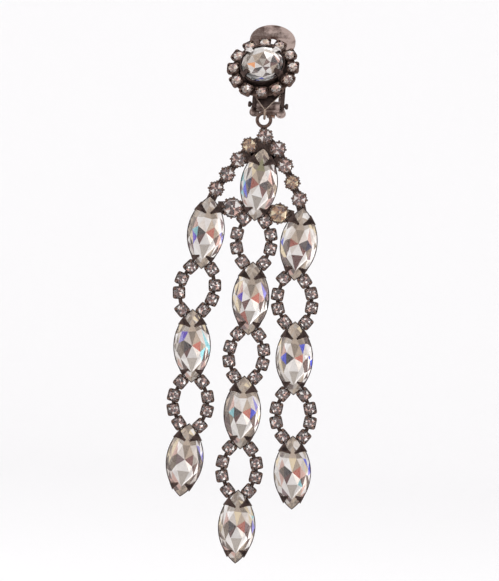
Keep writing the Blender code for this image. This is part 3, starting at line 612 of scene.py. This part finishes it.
def foil_silver():
    """Mirror foil under the stone, painted facet by facet with the reflections, white glints and colour
    flashes that the light sends round inside a foiled stone.
    """
    made, tree, shader = principled("foil_painted_reflections")
    shader.inputs["Metallic"].default_value = 0.6
    tint = tree.nodes.new("ShaderNodeAttribute")
    tint.attribute_name = "facet_painted_reflection"
    haze = noise(tree, 1500.0, 3.0)
    age = remap(tree, haze.outputs["Fac"], 0.35, 0.7, 0.0, 0.16)
    colour = mixed(tree, age, tint.outputs["Color"], FOIL_DUST)
    tree.links.new(colour, shader.inputs["Base Color"])
    tree.links.new(remap(tree, haze.outputs["Fac"], 0.3, 0.7, 0.14, 0.2), shader.inputs["Roughness"])
    return made


CRYSTAL = clear_crystal()
FOIL = foil_silver()


def round_at(radius):
    """A round outline as a function of angles in degrees from the top and of a share of the radius."""
    return lambda turns, share: share * radius * np.column_stack(
        [np.sin(np.radians(turns)), np.cos(np.radians(turns))]
    )


def set_stone(name, frame_of, outline_at, across, kind, patterns, draws, body, stands_for):
    """A stone's two pieces on their plane: its cut crown over its foil."""
    girdle = GIRDLE_SHARE * across
    foil_top = -girdle - FOIL_GAP
    shell, tints = foil_bowl(outline_at, kind, patterns["depth"] * across, foil_top, patterns, draws)
    piece(name + "_foil", [seat(shell, frame_of)], FOIL, body, (), 0.0, tints)
    clear = cut_glass(outline_at, kind, -girdle, girdle, patterns["crown"] * across)
    piece(name + "_glass", [seat(clear, frame_of)], CRYSTAL, body, stands_for, 0.0)


BUTTON_PATTERN = {
    "star": 0.40, "girdle": 0.72, "depth": 0.13, "crown": 0.08,
    "star_shades": "ash mushroom white rosewood white slate white taupe".split(),
    "outward": "greige white rosewood white white mushroom peach beige".split(),
    "inward": "white slate beige mushroom white white pearl beige".split(),
    "edge": [names.split() for names in (
        "white white pearl", "white ash white", "blush mauve slate white", "mauve greige white", "blue white",
        "white pearl slate", "ash taupe pearl", "taupe pearl ash",
    )],
}
stone_plane = shifted(face_plane, 0, 0, BUTTON_RISE)
set_stone(
    "button_stone", stone_plane, round_at(BUTTON_ACROSS / 2), BUTTON_ACROSS, "round", BUTTON_PATTERN,
    np.random.default_rng(3), "button", ["button_stone"],
)


# Halo. Twelve small square cups of thin brass, soldered on a flat ring round the collet. Each holds a round
# stone by its four folded corners. Japanned like the setting but drawn lighter, the corners and rims
# grey-brown: partly rubbed wear, partly a painted highlight.
CUP_ACROSS = 3.2 * MM
SMALL_STONE = 2.5 * MM
CUP_DEPTH = 1.1 * MM
HALO_RADIUS = 7.55 * MM
HALO_CUPS = 12
CUP_SQUARENESS = 6.5
PRONG_HALF_THICK = 0.1 * MM
STONE_OVERLAP = 0.2 * MM
# The cups' metal, also used for the jump ring, is a lighter copy of the japanned brass: its paler patches and
# rubbed edges are partly wear, partly a painted highlight.
CUP_METAL = old_metal("cups_rubbed_and_highlit", (46, 33, 30), (84, 65, 59), (142, 118, 106), 1400.0, 0.6, 0.6)


def rounded_square(half):
    """Points of |x|^p + |y|^p = half^p at even angles."""
    way = circle(1.0, 32)
    reach = half / (np.abs(way) ** CUP_SQUARENESS).sum(axis=1, keepdims=True) ** (1 / CUP_SQUARENESS)
    return reach * way


def prong(turn, radii, heights, half_widths):
    """A thin prong at turn radians from the top: a strap along the given radii and heights."""
    way = np.array([math.sin(turn), math.cos(turn)])
    path = np.column_stack([radii[:, None] * way, heights])
    return strap(path, (way[1], -way[0], 0), half_widths, PRONG_HALF_THICK, 6)


def square_cup():
    """One small cup: tapered walls, rounded rim, a shallow well, and a prong folded in at each corner."""
    half = CUP_ACROSS / 2
    reaches = np.array([0.82, 0.86, 0.99, 0.97, 0.93, 0.88, 0.86, 0.5]) * half
    levels = [-CUP_DEPTH, -CUP_DEPTH + 0.08 * MM, *(np.array([0.05, 0.17, 0.22, 0.17, -0.1, -0.6]) * MM)]
    radii = np.array([1.09, 1.11, 1.05, 0.86, 0.70]) * half
    heights = np.array([-0.5, 0.16, 0.40, 0.44, 0.36]) * MM
    half_widths = np.array([0.42, 0.42, 0.36, 0.27, 0.16]) * MM
    corners = [prong(np.pi / 4 + k * np.pi / 2, radii, heights, half_widths) for k in range(4)]
    return [lathe(rounded_square, list(zip(reaches, levels))), *corners]


def small_cups(frames):
    """The shells of a small cup in each of the frames."""
    return [seat(shell, at) for at in frames for shell in square_cup()]


SMALL_PATTERN = {
    "star": 0.50, "girdle": 0.80, "depth": 0.2, "crown": 0.14,
    "star_shades": "slate mushroom white rosewood ink mushroom mauve blush".split(),
    "outward": "white mauve mushroom slate blush mushroom slate white".split(),
    "inward": "ink blush mushroom mauve white slate rosewood mushroom".split(),
    "edge": ["mushroom slate rosewood rosewood greige".split()] * 8,
}
SHADE_ROWS = ("star_shades", "outward", "inward")
SMALL_LOW, SMALL_GIRDLE = 0.02 * MM, 0.08 * MM
# The halo's stones get lighter painted reflections than the others: painted light that makes up for the shade
# of their deep cups.
HALO_PAINTED_LIGHT = {"slate": "mauve", "ink": "mushroom", "mushroom": "beige", "rosewood": "blush", "mauve": "pearl"}


def changed(names, order, change):
    """Shades put in the given order, those that the table change holds replaced by its own."""
    return [change.get(names[k], names[k]) for k in order]


def small_stones(name, frames, body, seed, change):
    """The small round stones of several cups as two pieces, each with its own order of facet shades."""
    draws = np.random.default_rng(seed)
    outline_at = round_at(SMALL_STONE / 2 + STONE_OVERLAP)
    depth, crown = SMALL_PATTERN["depth"] * SMALL_STONE, SMALL_PATTERN["crown"] * SMALL_STONE
    glass, foils, tints = [], [], []
    for at in frames:
        mix = dict(SMALL_PATTERN)
        for part in SHADE_ROWS:
            mix[part] = changed(SMALL_PATTERN[part], draws.permutation(8), change)
        turned = shifted(at, 0, 0, 0, draws.uniform(0, np.pi / 4))
        shell, tint = foil_bowl(outline_at, "round", depth, 0.0, mix, draws)
        foils.append(seat(shell, turned))
        tints.append(tint)
        glass.append(seat(cut_glass(outline_at, "round", SMALL_LOW, SMALL_GIRDLE, crown), turned))
    piece(name + "_foil", foils, FOIL, body, (), 0.0, np.vstack(tints))
    piece(name + "_glass", glass, CRYSTAL, body, (), 0.0)


halo_frames = []
for k in range(HALO_CUPS):
    a = k * 2 * np.pi / HALO_CUPS
    halo_frames.append(shifted(face_plane, HALO_RADIUS * math.sin(a), HALO_RADIUS * math.cos(a), 0, -a))
ring_profile = np.array([(6.45, -1.15), (6.5, -0.9), (8.1, -0.9), (8.15, -1.15)]) * MM
halo_ring = seat(lathe(lambda r: circle(r, 48), ring_profile, hollow=True), face_plane)
piece("halo_cups", [halo_ring, *small_cups(halo_frames)], CUP_METAL, "button", ["button_halo"])
small_stones("halo_stones", halo_frames, "button", 11, HALO_PAINTED_LIGHT)


# Crown. Jump ring, a V of nine round cups, the centre navette, two medium stones and the two upper outer
# navettes: japanned brass, laid flat in a jig and soldered with short bars behind the cups.
LONG = 18.0 * MM
WIDE = 9.0 * MM
CROWN_STONE = 3.3 * MM
MEDIUM_STONE = 4.6 * MM
CROWN_STEP = 4.55 * MM
CROWN_LEAN = 3.0
CROWN_ASIDE = 0.8 * MM
MEDIUM_DROP = 6.6 * MM
SHOULDER_OUT = 2.65 * MM
SHOULDER_TURN = 40.0
SHOULDER_BAR, SHOULDER_BAR_IN = 0.6 * MM, 1.5 * MM
RING_RADIUS = 1.67 * MM
WIRE = 0.43 * MM
BAR_BACK = -0.81 * MM
BAR_HALF_THICK = 0.29 * MM
# Each tip's claws in millimetres: end, foot's height, tip's place across and up, and width at the foot.
NAVETTE_CLAWS = ((1, 6.3, 0.5, 4.8, 2.8), (-1, 6.7, 0.85, 5.9, 2.1))


def flat(x, z, lean):
    """A frame in the drop's upright plane, leaning by lean degrees, its out axis towards the front."""
    c, s = math.cos(math.radians(lean)), math.sin(math.radians(lean))
    return plane([x, PIVOT[1], z], [c, 0, -s], [s, 0, c], [0, -1, 0])


def spot(frame_of, x, y):
    """World x and z of a point of a flat frame."""
    return (frame_of[:3, :3] @ np.array([x, y, 0.0]) + frame_of[:3, 3])[[0, 2]]


def half_width(y, long, wide):
    """Half a navette's width at height y, on the circle through both tips: its radius is
    (long^2 + wide^2) / (4 wide), and the half width sqrt(radius^2 - y^2) - radius + wide / 2."""
    radius = (long**2 + wide**2) / (4 * wide)
    return np.sqrt(radius**2 - y**2) - radius + wide / 2


def boat(t, long, wide):
    """A navette's outline at angles t from its upper tip: y = half the length * cos t, x by half_width."""
    y = long / 2 * np.cos(t)
    return np.stack([np.sign(np.sin(t).round(9)) * half_width(y, long, wide), y], axis=1)


def navette_at(turns, share):
    """The stone's outline, by angles in degrees from its upper tip and by a share of its size."""
    return share * boat(np.radians(turns), LONG, WIDE)


def navette_grown(grow):
    """The stone's outline grown on both sides; the blunt tips move out a quarter more."""
    return boat(np.arange(48) * 2 * np.pi / 48, LONG + 2.5 * grow, WIDE + 2 * grow)


def navette_wall():
    """The open-backed wall of a navette, drawn in towards its back, with a thin rounded rim."""
    profile = np.array([
        (-1.0, -2.2), (-0.35, -2.2), (-0.1, -1.7), (0.15, -0.4), (0.19, 0.0), (0.18, 0.14), (0.14, 0.2),
        (0.06, 0.14), (0.05, -0.4),
    ])
    return lathe(navette_grown, profile * MM, hollow=True)


def navette_claws():
    """Four triangular claws folded in beside the tips, so that a diamond of the stone shows between them."""
    made = []
    for end, *sizes in NAVETTE_CLAWS:
        foot_y, tip_x, tip_y, base = np.array(sizes) * MM
        foot_x = half_width(foot_y, LONG, WIDE) + 0.1 * MM
        for side in (-1, 1):
            made.append(claw(
                (side * foot_x, end * foot_y), (side * tip_x, end * tip_y), out_wall=0.16 * MM,
                base_z=-1.2 * MM, rim_z=0.34 * MM, tip_z=0.78 * MM, base=base, end=0.45 * MM, thick=0.22 * MM,
            ))
    return made


def shoulder_frames(frame_of, lean, ends):
    """The places of the small cups on a navette's shoulders: end 1 is its upper tip, -1 its lower."""
    made = []
    for end in ends:
        for side in (-1, 1):
            x, z = spot(frame_of, side * SHOULDER_OUT, end * LONG / 2)
            made.append(flat(x, z, lean + SHOULDER_TURN * side * end))
    return made


def link(start, end, half=0.5 * MM):
    """A short flat bar behind the cups from one point of the drop's plane to another."""
    ends = np.array([[x, PIVOT[1] - BAR_BACK, z] for x, z in (start, end)])
    path = ends[0] + (ends[1] - ends[0]) * np.linspace(0, 1, 3)[:, None]
    return strap(path, np.cross(path[2] - path[0], [0, 1.0, 0]), half, BAR_HALF_THICK, 8, squareness=5.0)


def navette_shells(frame_of, lean, ends):
    """A navette's shoulder cups, its dark wall, claws and bars from cup to tip, and the cups' frames."""
    dark = [seat(s, frame_of) for s in [navette_wall(), *navette_claws()]]
    cups = shoulder_frames(frame_of, lean, ends)
    for at, end in zip(cups, np.repeat(ends, 2)):
        foot = spot(frame_of, 0, end * (LONG / 2 - SHOULDER_BAR_IN))
        dark.append(link(at[[0, 2], 3], foot, SHOULDER_BAR))
    return small_cups(cups), dark, cups


PETAL_OUT = 0.38 * MM


def petals(radius):
    """An outline of eight petals: the radius times 1 at each petal, down to 0.8 between two of them."""
    plain = round_at(radius)
    return lambda turns, share: (0.9 + 0.1 * np.cos(8 * np.radians(turns)))[:, None] * plain(turns, share)


def round_cup(across):
    """A round cup under the stone's overhang, and a small prong in each dip between the stone's petals."""
    half = across / 2
    profile = [
        (0.7 * half, -0.7 * across), (0.76 * half, -0.68 * across), (half + 0.16 * MM, -0.2 * MM),
        (half + 0.2 * MM, -0.05 * MM), (half + 0.1 * MM, 0.0), (half - 0.1 * MM, -0.06 * MM),
        (0.5 * half, -0.35 * across),
    ]
    shells = [lathe(lambda r: circle(r, 40), profile)]
    for k in range(8):
        main = 1.0 if k % 2 else 0.8
        radii = half + np.array([0.12, 0.28, 0.40, 0.2, -0.30 - 0.1 * main]) * MM
        heights = np.array([-0.8, -0.1, 0.2, 0.42, 0.46]) * MM
        half_widths = np.array([0.34, 0.34, 0.32, 0.26, 0.12]) * MM * main
        shells.append(prong(k * np.pi / 4, radii, heights, half_widths))
    return shells


ROUND_PATTERN = {
    "star": 0.34, "girdle": 0.70, "depth": 0.09, "crown": 0.11,
    "star_shades": "white slate mushroom blush ink rosewood slate mushroom".split(),
    "outward": "slate rosewood white mushroom ink mushroom blush slate".split(),
    "inward": "mushroom white rosewood blush rosewood white slate mauve".split(),
    "edge": ["white slate mushroom rosewood blush taupe white".split()] * 8,
}
# Shades changed for the golden stones, and for the lighter ones of the right-hand side.
GOLDEN = {
    "slate": "honey", "white": "cream", "ink": "mushroom", "blush": "sand", "rosewood": "honey",
    "taupe": "sand",
}
WARMER = {"slate": "mushroom", "mauve": "blush", "mushroom": "mauve"}
GOLDEN_CUPS = ((-1, 0), (1, 2))


def round_stone(name, frame_of, across, seed, change):
    """A round stone of the crown, its shades turned round by a seeded step and replaced as change says."""
    draws = np.random.default_rng(seed)
    mix = dict(ROUND_PATTERN)
    order = np.roll(range(8), -draws.integers(0, 8))
    for part in SHADE_ROWS:
        mix[part] = changed(ROUND_PATTERN[part], order, change)
    rim = ROUND_PATTERN["edge"][0]
    mix["edge"] = [changed(rim, range(len(rim)), change)] * 8
    turned = shifted(frame_of, 0, 0, 0, np.pi / 8)
    set_stone(name, turned, petals(across / 2 + PETAL_OUT), across, "round", mix, draws, "drop", [name])


NAVETTE_PATTERN = {
    "star": 0.50, "girdle": 0.74, "depth": 0.12, "crown": 0.075,
    "star_shades": "taupe pearl slate rosewood white pearl terracotta beige".split(),
    "outward": "beige white greige white ash white navy pearl".split(),
    "inward": "ash blush taupe white white mushroom pearl taupe".split(),
}
# The lists of rim shades, and which of them each sector has, from the upper tip clockwise.
FLASHES = "cream blue lilac ice white slate white mauve greige white".split()
PALES = "white pearl cream white mushroom beige taupe greige".split()
LOWER = "white white pearl blush mushroom greige mauve".split()
TIPS = "taupe beige taupe ash beige".split()
NAVETTE_EDGE = [TIPS, PALES, PALES, LOWER, TIPS, LOWER, FLASHES, PALES]
# What sets each stone apart in the photograph: mirrored or not, then the shades changed, each as its row,
# its sector and the shade.
NAVETTE_LOOKS = {
    "centre": (False, "outward 0 olive, outward 7 cream"),
    "left_1": (True, "outward 6 ice, inward 5 violet, star_shades 0 white, outward 2 beige"),
    "right_1": (False, "outward 4 rosewood, outward 2 navy, outward 6 mushroom"),
    "middle_1": (True, "outward 6 violet, inward 4 terracotta, star_shades 6 white, outward 2 blush"),
    "middle_2": (True, "outward 6 ice, outward 2 blue, star_shades 0 white"),
    "middle_3": (True, "star_shades 0 cream, outward 2 mauve"),
    "left_2": (True, "outward 7 violet, inward 6 lilac, inward 2 ice, outward 2 beige"),
    "left_3": (True, "star_shades 6 mauve, star_shades 2 rosewood, star_shades 5 white, outward 2 ash"),
    "right_2": (True, "outward 6 blue, outward 1 blue, outward 2 white, star_shades 5 white"),
    "right_3": (True, "outward 3 ice, inward 5 blush, star_shades 0 cream, star_shades 7 white, "
                      "outward 2 blush"),
}


def navette_stone(label, frame_of, seed):
    """A navette's glass and foil, its shades mirrored left to right and changed as its look says."""
    name = "navette_stone_" + label
    flip, swaps = NAVETTE_LOOKS[label]
    mix = {**NAVETTE_PATTERN, "edge": NAVETTE_EDGE}
    if flip:
        for part in ("star_shades", "outward", "edge"):
            mix[part] = [mix[part][-k % 8] for k in range(8)]
        mix["inward"] = mix["inward"][::-1]
    for swap in swaps.split(", "):
        part, sector, shade = swap.split()
        mix[part] = [shade if k == int(sector) else n for k, n in enumerate(mix[part])]
    draws = np.random.default_rng(seed)
    set_stone(name, frame_of, navette_at, WIDE, "navette", mix, draws, "drop", [name])


# Each cup of the V lies this many degrees out from straight below the one before.
ROW_TURNS = (53.0, 30.0, 30.0, 30.0)
TOP_GAP, RING_LIFT, RING_SINK, TIP_GAP = 0.55 * MM, 2.0 * MM, 0.15 * MM, 0.3 * MM
cup_reach = CROWN_STONE / 2 + STONE_GAP + WALL
top_y = LONG / 2 + WALL + STONE_GAP + TOP_GAP + cup_reach
ring_y = top_y + cup_reach + RING_LIFT - RING_SINK
crown_plane = shifted(flat(PIVOT[0], PIVOT[2], CROWN_LEAN), CROWN_ASIDE, -(ring_y + RING_RADIUS), 0)


def crown_row(side):
    """Places in the crown's frame of one side's four cups, its outer navette and its medium stone."""
    at, row = np.array([0.0, top_y]), []
    for turn in np.radians(ROW_TURNS):
        down = np.array([side * math.sin(turn), -math.cos(turn)])
        at = at + CROWN_STEP * down
        row.append(at)
    outer = at + (cup_reach + TIP_GAP) * down - [0.0, LONG / 2]
    return row, outer, np.array([outer[0] / 2, -MEDIUM_DROP])


def crown_link(start, end, half):
    """A bar between two places in the crown's frame."""
    return link(spot(crown_plane, *start), spot(crown_plane, *end), half)


# Half the widths of the bars: from the ring, from the top cup down, along the V, from its upper cups to the
# centre navette, from its last cup to the outer navette, and from the medium stone inwards and outwards.
RING_BAR, TOP_BAR, ROW_BAR, WEB_BAR, LAST_BAR, INNER_BAR, OUTER_BAR = (
    np.array([0.7, 1.9, 0.9, 1.4, 1.2, 1.6, 1.7]) * MM
)
WEB_FOOT = np.array([1.7, 6.9]) * MM
WEB_CUPS = 2
top = np.array([0.0, top_y])
ring_path = np.column_stack([circle(RING_RADIUS, 32), np.zeros(32)])
jump_ring = strap(ring_path, (0, 0, 1.0), WIRE, WIRE, 10, closed=True, squareness=2.0)
crown_shells, crown_dark, crown_cups = navette_shells(crown_plane, CROWN_LEAN, (-1,))
crown_shells.append(seat(jump_ring, shifted(crown_plane, -CROWN_ASIDE, ring_y, 0)))
navette_stone("centre", crown_plane, 101)
top_plane = shifted(crown_plane, *top, 0)
crown_shells += [seat(s, top_plane) for s in round_cup(CROWN_STONE)]
crown_dark.append(crown_link((-CROWN_ASIDE, ring_y - RING_RADIUS), top, RING_BAR))
crown_dark.append(crown_link(top, (0, 0.42 * LONG), TOP_BAR))
round_stone("crown_stone_top", top_plane, CROWN_STONE, 40, {})
outer_planes = {}
for side, label in ((-1, "left"), (1, "right")):
    row, outer, medium = crown_row(side)
    last = top
    for k, at in enumerate(row):
        here = shifted(crown_plane, *at, 0)
        crown_shells += [seat(s, here) for s in round_cup(CROWN_STONE)]
        crown_dark.append(crown_link(last, at, ROW_BAR))
        if k < WEB_CUPS:
            crown_dark.append(crown_link(at, WEB_FOOT * [side, 1], WEB_BAR))
        change = GOLDEN if (side, k) in GOLDEN_CUPS else WARMER if side == 1 else {}
        round_stone(f"crown_stone_{label}_{k + 1}", here, CROWN_STONE, 50 + 10 * side + k, change)
        last = at
    outer_plane = shifted(crown_plane, *outer, 0)
    outer_planes[label] = outer_plane
    shells, dark, cups = navette_shells(outer_plane, CROWN_LEAN, (-1,))
    here = shifted(crown_plane, *medium, 0)
    crown_shells += [*shells, *(seat(s, here) for s in round_cup(MEDIUM_STONE))]
    crown_dark += [
        *dark, link(spot(crown_plane, *last), spot(outer_plane, 0, 0.42 * LONG), LAST_BAR),
        crown_link(medium, (side * 0.25 * WIDE, -0.9 * MEDIUM_DROP), INNER_BAR),
        link(spot(crown_plane, *medium), spot(outer_plane, -side * 0.25 * WIDE, 0.36 * LONG), OUTER_BAR),
    ]
    crown_cups += cups
    round_stone(f"medium_stone_{label}", here, MEDIUM_STONE, 70 + side, GOLDEN if side > 0 else {})
    navette_stone(f"{label}_1", outer_plane, 110 + side)
piece(
    "crown_cups_and_ring", crown_shells, CUP_METAL, "drop", ["crown_frame"], darker=crown_dark
)
small_stones("crown_small_stones", crown_cups, "drop", 21, {})


# Strands. Seven more navettes of the same brass, hung one below the other. Each is soldered to the one
# above by two side chains of two small cups and three bars, which bow out into an open loop.
LOOP_GAP = 10.5 * MM
LOOP_HALF = 4.2 * MM
CHAIN_TURN = 12.0
# For each navette from the top down: the way to it from straight down, and its own lean, in degrees.
STRANDS = {
    "middle": ((0.0, -0.4), (0.0, -0.8), (-1.4, -1.8)),
    "left": ((2.7, -3.2), (-0.5, 3.3)),
    "right": ((-2.0, -2.8), (-3.2, -3.2)),
}


def side_chain(upper, lower, side):
    """The metal and the cups' frames of one side of a loop."""
    start = spot(upper, side * SHOULDER_OUT, -LONG / 2)
    end = spot(lower, side * SHOULDER_OUT, LONG / 2)
    tip = spot(upper, 0.0, -LONG / 2)
    run = spot(lower, 0.0, LONG / 2) - tip
    across = side * np.array([-run[1], run[0]]) / np.linalg.norm(run)
    high = tip + run / 3 + LOOP_HALF * across
    low = tip + run * 2 / 3 + LOOP_HALF * across
    lean = math.degrees(math.atan2(-run[0], -run[1]))
    cups = [flat(*high, lean - CHAIN_TURN * side), flat(*low, lean + CHAIN_TURN * side)]
    return small_cups(cups), [link(start, high), link(high, low), link(low, end)], cups


for label, rows in STRANDS.items():
    upper, first = (crown_plane, 1) if label == "middle" else (outer_planes[label], 2)
    strand_cups = []
    for k, (way, lean) in enumerate(rows):
        a = math.radians(way)
        below = spot(upper, 0, 0) - (LONG + LOOP_GAP) * np.array([math.sin(a), math.cos(a)])
        lower = flat(*below, lean)
        number = first + k
        ends = (1,) if k == len(rows) - 1 else (1, -1)
        shells, dark, cups = navette_shells(lower, lean, ends)
        node = f"navette_setting_{label}_{number}"
        piece(node.replace("setting", "cups"), shells, CUP_METAL, "drop", [node], darker=dark)
        strand_cups += cups
        navette_stone(f"{label}_{number}", lower, 120 + 10 * len(label) + k)
        for side, hand in ((-1, "a"), (1, "b")):
            shells, dark, cups = side_chain(upper, lower, side)
            node = f"chain_{label}_{k + 1}{hand}"
            piece(node + "_cups", shells, CUP_METAL, "drop", [node], darker=dark)
            strand_cups += cups
        upper = lower
    small_stones(f"strand_small_stones_{label}", strand_cups, "drop", 30 + len(label), {})


# Clip lever. The paddle with its round hole closes on the back of the ear; at its heel are two round lobes,
# the tongue between them and the barrel that turns on the pin. Cut from sheet of a white metal, gone to a
# mauve-grey pewter tone, its tongue rubbed to copper.
# Its side value spreads the paler tone towards the right: the lever is painted lighter on its right side, as
# the light falls, over its patches of patina.
PEWTER = old_metal("old_pewter", (76, 56, 50), (172, 152, 145), (212, 196, 188), 420.0, 0.5, 0.7, side=26.0)
COPPER = old_metal("rubbed_copper", (96, 66, 54), (186, 128, 98), (214, 158, 124), 1500.0, 0.8, 0.85)
LEVER_LEAN = math.atan2(2.15, 11.2)
LEVER_LONG, PADDLE, PADDLE_HOLE = 25.4 * MM, 5.85 * MM, 1.3 * MM
LEAF_THICK, LEAF_SOFT, LEAF_BACK = 0.9 * MM, 0.16 * MM, -2.0 * MM
HEEL_X, HEEL_Y, HEEL_RADIUS = 3.35 * MM, -0.7 * MM, 1.2 * MM
LOBE_X, LOBE_Y, LOBE_BACK = 3.3 * MM, -0.75 * MM, -1.9 * MM
BARREL_HALF, BARREL_RADIUS = 2.88 * MM, 1.1 * MM
WEB_BACK, WEB_HALF_TALL, WEB_HALF_DEEP = 1.2 * MM, 1.05 * MM, 0.7 * MM
TONGUE_OUT, COPPER_HALF, COPPER_HALF_THICK = -1.58 * MM, 0.2 * MM, 0.09 * MM
pin_plane = shifted(clip_plane, 0, PIN_Y, PIN_Z)
c, s = math.cos(LEVER_LEAN), math.sin(LEVER_LEAN)
lever_plane = pin_plane.copy()
lever_plane[:3, :3] = pin_plane[:3, :3] @ np.array([[1, 0, 0], [0, c, s], [0, -s, c]])
waist = np.array([(-3.6, 11.4), (-3.45, 7.0), (-3.6, 3.0)]) * MM
tongue = np.array([(-2.0, 0.2), (-0.5, 0.2), (-0.1, -2.1), (1.9, -2.1), (2.0, -0.8)]) * MM
outline = np.vstack([
    arc(0, LEVER_LONG, PADDLE, -32, 212, 48), waist, arc(-HEEL_X, HEEL_Y, HEEL_RADIUS, 150, 375, 18), tongue,
    arc(HEEL_X, HEEL_Y, HEEL_RADIUS, 200, 390, 16), waist[::-1] * [-1, 1],
])
hole = arc(0, LEVER_LONG, PADDLE_HOLE, 0, 350, 32)
window = np.array([(-2.5, 1.3), (2.5, 1.3), (2.5, 6.2), (2.0, 6.7), (-2.0, 6.7), (-2.5, 6.2)]) * MM
leaf = sheet_metal([outline, hole, window], LEAF_THICK, LEAF_SOFT)
lever_shells = [seat(leaf, shifted(lever_plane, 0, 0, LEAF_BACK))]
lobe = np.array([
    (0.3, -0.5), (1.15, -0.5), (1.26, -0.3), (1.26, 0.25), (1.12, 0.55), (0.75, 0.78), (0.3, 0.86),
]) * MM
for side in (-1, 1):
    at = shifted(lever_plane, side * LOBE_X, LOBE_Y, LOBE_BACK)
    lever_shells.append(seat(lathe(lambda r: circle(r, 32), lobe), at))


def rod(along, half_wide, half_high, count, squareness, out=0.0):
    """A straight strap along the frame's right axis, through the places along, at height out."""
    path = np.column_stack([along, 0 * along, np.full(len(along), out)])
    return strap(path, (0, 1.0, 0), half_wide, half_high, count, squareness=squareness)


turns = np.linspace(-BARREL_HALF, BARREL_HALF, 9)
lever_shells += [
    seat(rod(turns, BARREL_RADIUS, BARREL_RADIUS, 20, 2.0), lever_plane),
    seat(rod(turns, WEB_HALF_TALL, WEB_HALF_DEEP, 12, 3.0, -WEB_BACK), lever_plane),
]
piece("clip_lever_metal", lever_shells, PEWTER, "lever", ["clip_lever"])
rows = np.array([(0.0, -2.0), (0.7, -2.05), (1.3, -2.05), (1.85, -2.0)]) * MM
path = np.column_stack([rows, np.full(len(rows), TONGUE_OUT)])
copper_edge = seat(strap(path, (0, 1.0, 0), COPPER_HALF, COPPER_HALF_THICK, 8), lever_plane)
piece("copper_tongue_edge", [copper_edge], COPPER, "lever")


# Clip pin. A thin brass pin through both ears and the lever's barrel. Its ends are hammered to small dark
# knobs, which hold it in place.
half_row = np.array([5.05, 5.0, 4.85, 4.55, 4.3, 4.2])
ends = np.concatenate([-half_row, [0.0], half_row[::-1]]) * MM
half_thick = np.array([0.25, 0.55, 0.72, 0.74, 0.65, 0.38])
thick = np.concatenate([half_thick, half_thick[-1:], half_thick[::-1]]) * MM
pin = seat(rod(ends, thick, thick, 16, 2.0), pin_plane)
piece("clip_pin_metal", [pin], JAPANNED, "button", ["clip_pin"])


# Studio. A pale paper sweep behind and below, soft light all round, two soft boxes and a camera straight
# in front, turned as the photograph is.
PICTURE_TALL = 147 * MM
PICTURE_TURN = math.radians(4.2)
CAMERA_BACK = 0.9
SENSOR = 24.0
SWEEP_LOW, SWEEP_HIGH, SWEEP_BEHIND, SWEEP_FRONT, SWEEP_BEND, SWEEP_HALF = -0.16, 2.4, 1.5, -2.0, 0.4, 2.4
PAPER_SHADES = ((0.965, 0.96, 0.965, 1.0), (0.97, 0.965, 0.97, 1.0))
DAYLIGHT, DAYLIGHT_STRENGTH = (1.0, 0.995, 1.0, 1.0), 0.95
LIT_POINT = np.array([0.0, 0.0, -0.055])
# Each soft box: its place, its size in metres and its power in watts.
SOFT_BOXES = {
    "soft_box_left": ((-0.55, -0.45, 0.15), 0.7, 2.1),
    "soft_box_right": ((0.60, -0.35, 0.30), 0.6, 1.2),
}


def paper_sweep():
    """A sheet that runs down behind the earring and turns forward into the floor by a quarter circle."""
    t = np.linspace(0, np.pi / 2, 16)
    bend = np.column_stack([
        SWEEP_BEHIND - SWEEP_BEND + SWEEP_BEND * np.cos(t), SWEEP_LOW + SWEEP_BEND - SWEEP_BEND * np.sin(t),
    ])
    side = np.vstack([[SWEEP_BEHIND, SWEEP_HIGH], bend, [SWEEP_FRONT, SWEEP_LOW]])
    rows = np.array([np.column_stack([np.full(len(side), x), side]) for x in (-SWEEP_HALF, SWEEP_HALF)])
    k = np.arange(len(side) - 1)
    faces = np.column_stack([k, k + 1, len(side) + k + 1, len(side) + k])
    mesh = bpy.data.meshes.new("paper_sweep")
    mesh.from_pydata(rows.reshape(-1, 3).tolist(), [], faces.tolist())
    mesh.shade_smooth()
    paper, tree, shader = principled("pale_paper")
    grain = noise(tree, 60.0, 4.0)
    tree.links.new(mixed(tree, grain.outputs["Fac"], *PAPER_SHADES), shader.inputs["Base Color"])
    shader.inputs["Roughness"].default_value = 0.9
    shader.inputs["Specular IOR Level"].default_value = 0.1
    mesh.materials.append(paper)
    placed("paper_sweep", mesh)


paper_sweep()
for name, (at, size, power) in SOFT_BOXES.items():
    lamp = bpy.data.lights.new(name, "AREA")
    lamp.size = size
    lamp.energy = power
    made = placed(name, lamp)
    made.location = at
    made.rotation_mode = "QUATERNION"
    made.rotation_quaternion = Vector(LIT_POINT - np.array(at)).to_track_quat("-Z", "Y")
world = bpy.data.worlds.new("soft_daylight")
bpy.context.scene.world = world
world.use_nodes = True
world.node_tree.nodes["Background"].inputs["Color"].default_value = DAYLIGHT
world.node_tree.nodes["Background"].inputs["Strength"].default_value = DAYLIGHT_STRENGTH
middle = np.mean(CAD_BOX, axis=0)
camera = bpy.data.cameras.new("camera")
camera.sensor_fit = "VERTICAL"
camera.sensor_height = SENSOR
camera.lens = SENSOR * CAMERA_BACK / PICTURE_TALL
made = placed("camera", camera)
c, s = math.cos(PICTURE_TURN), math.sin(PICTURE_TURN)
made.matrix_world = Matrix(
    ((c, -s, 0, middle[0]), (0, 0, -1, middle[1] - CAMERA_BACK), (s, c, 0, middle[2]), (0, 0, 0, 1))
)
bpy.context.scene.camera = made
bpy.context.scene.view_settings.view_transform = "Standard"
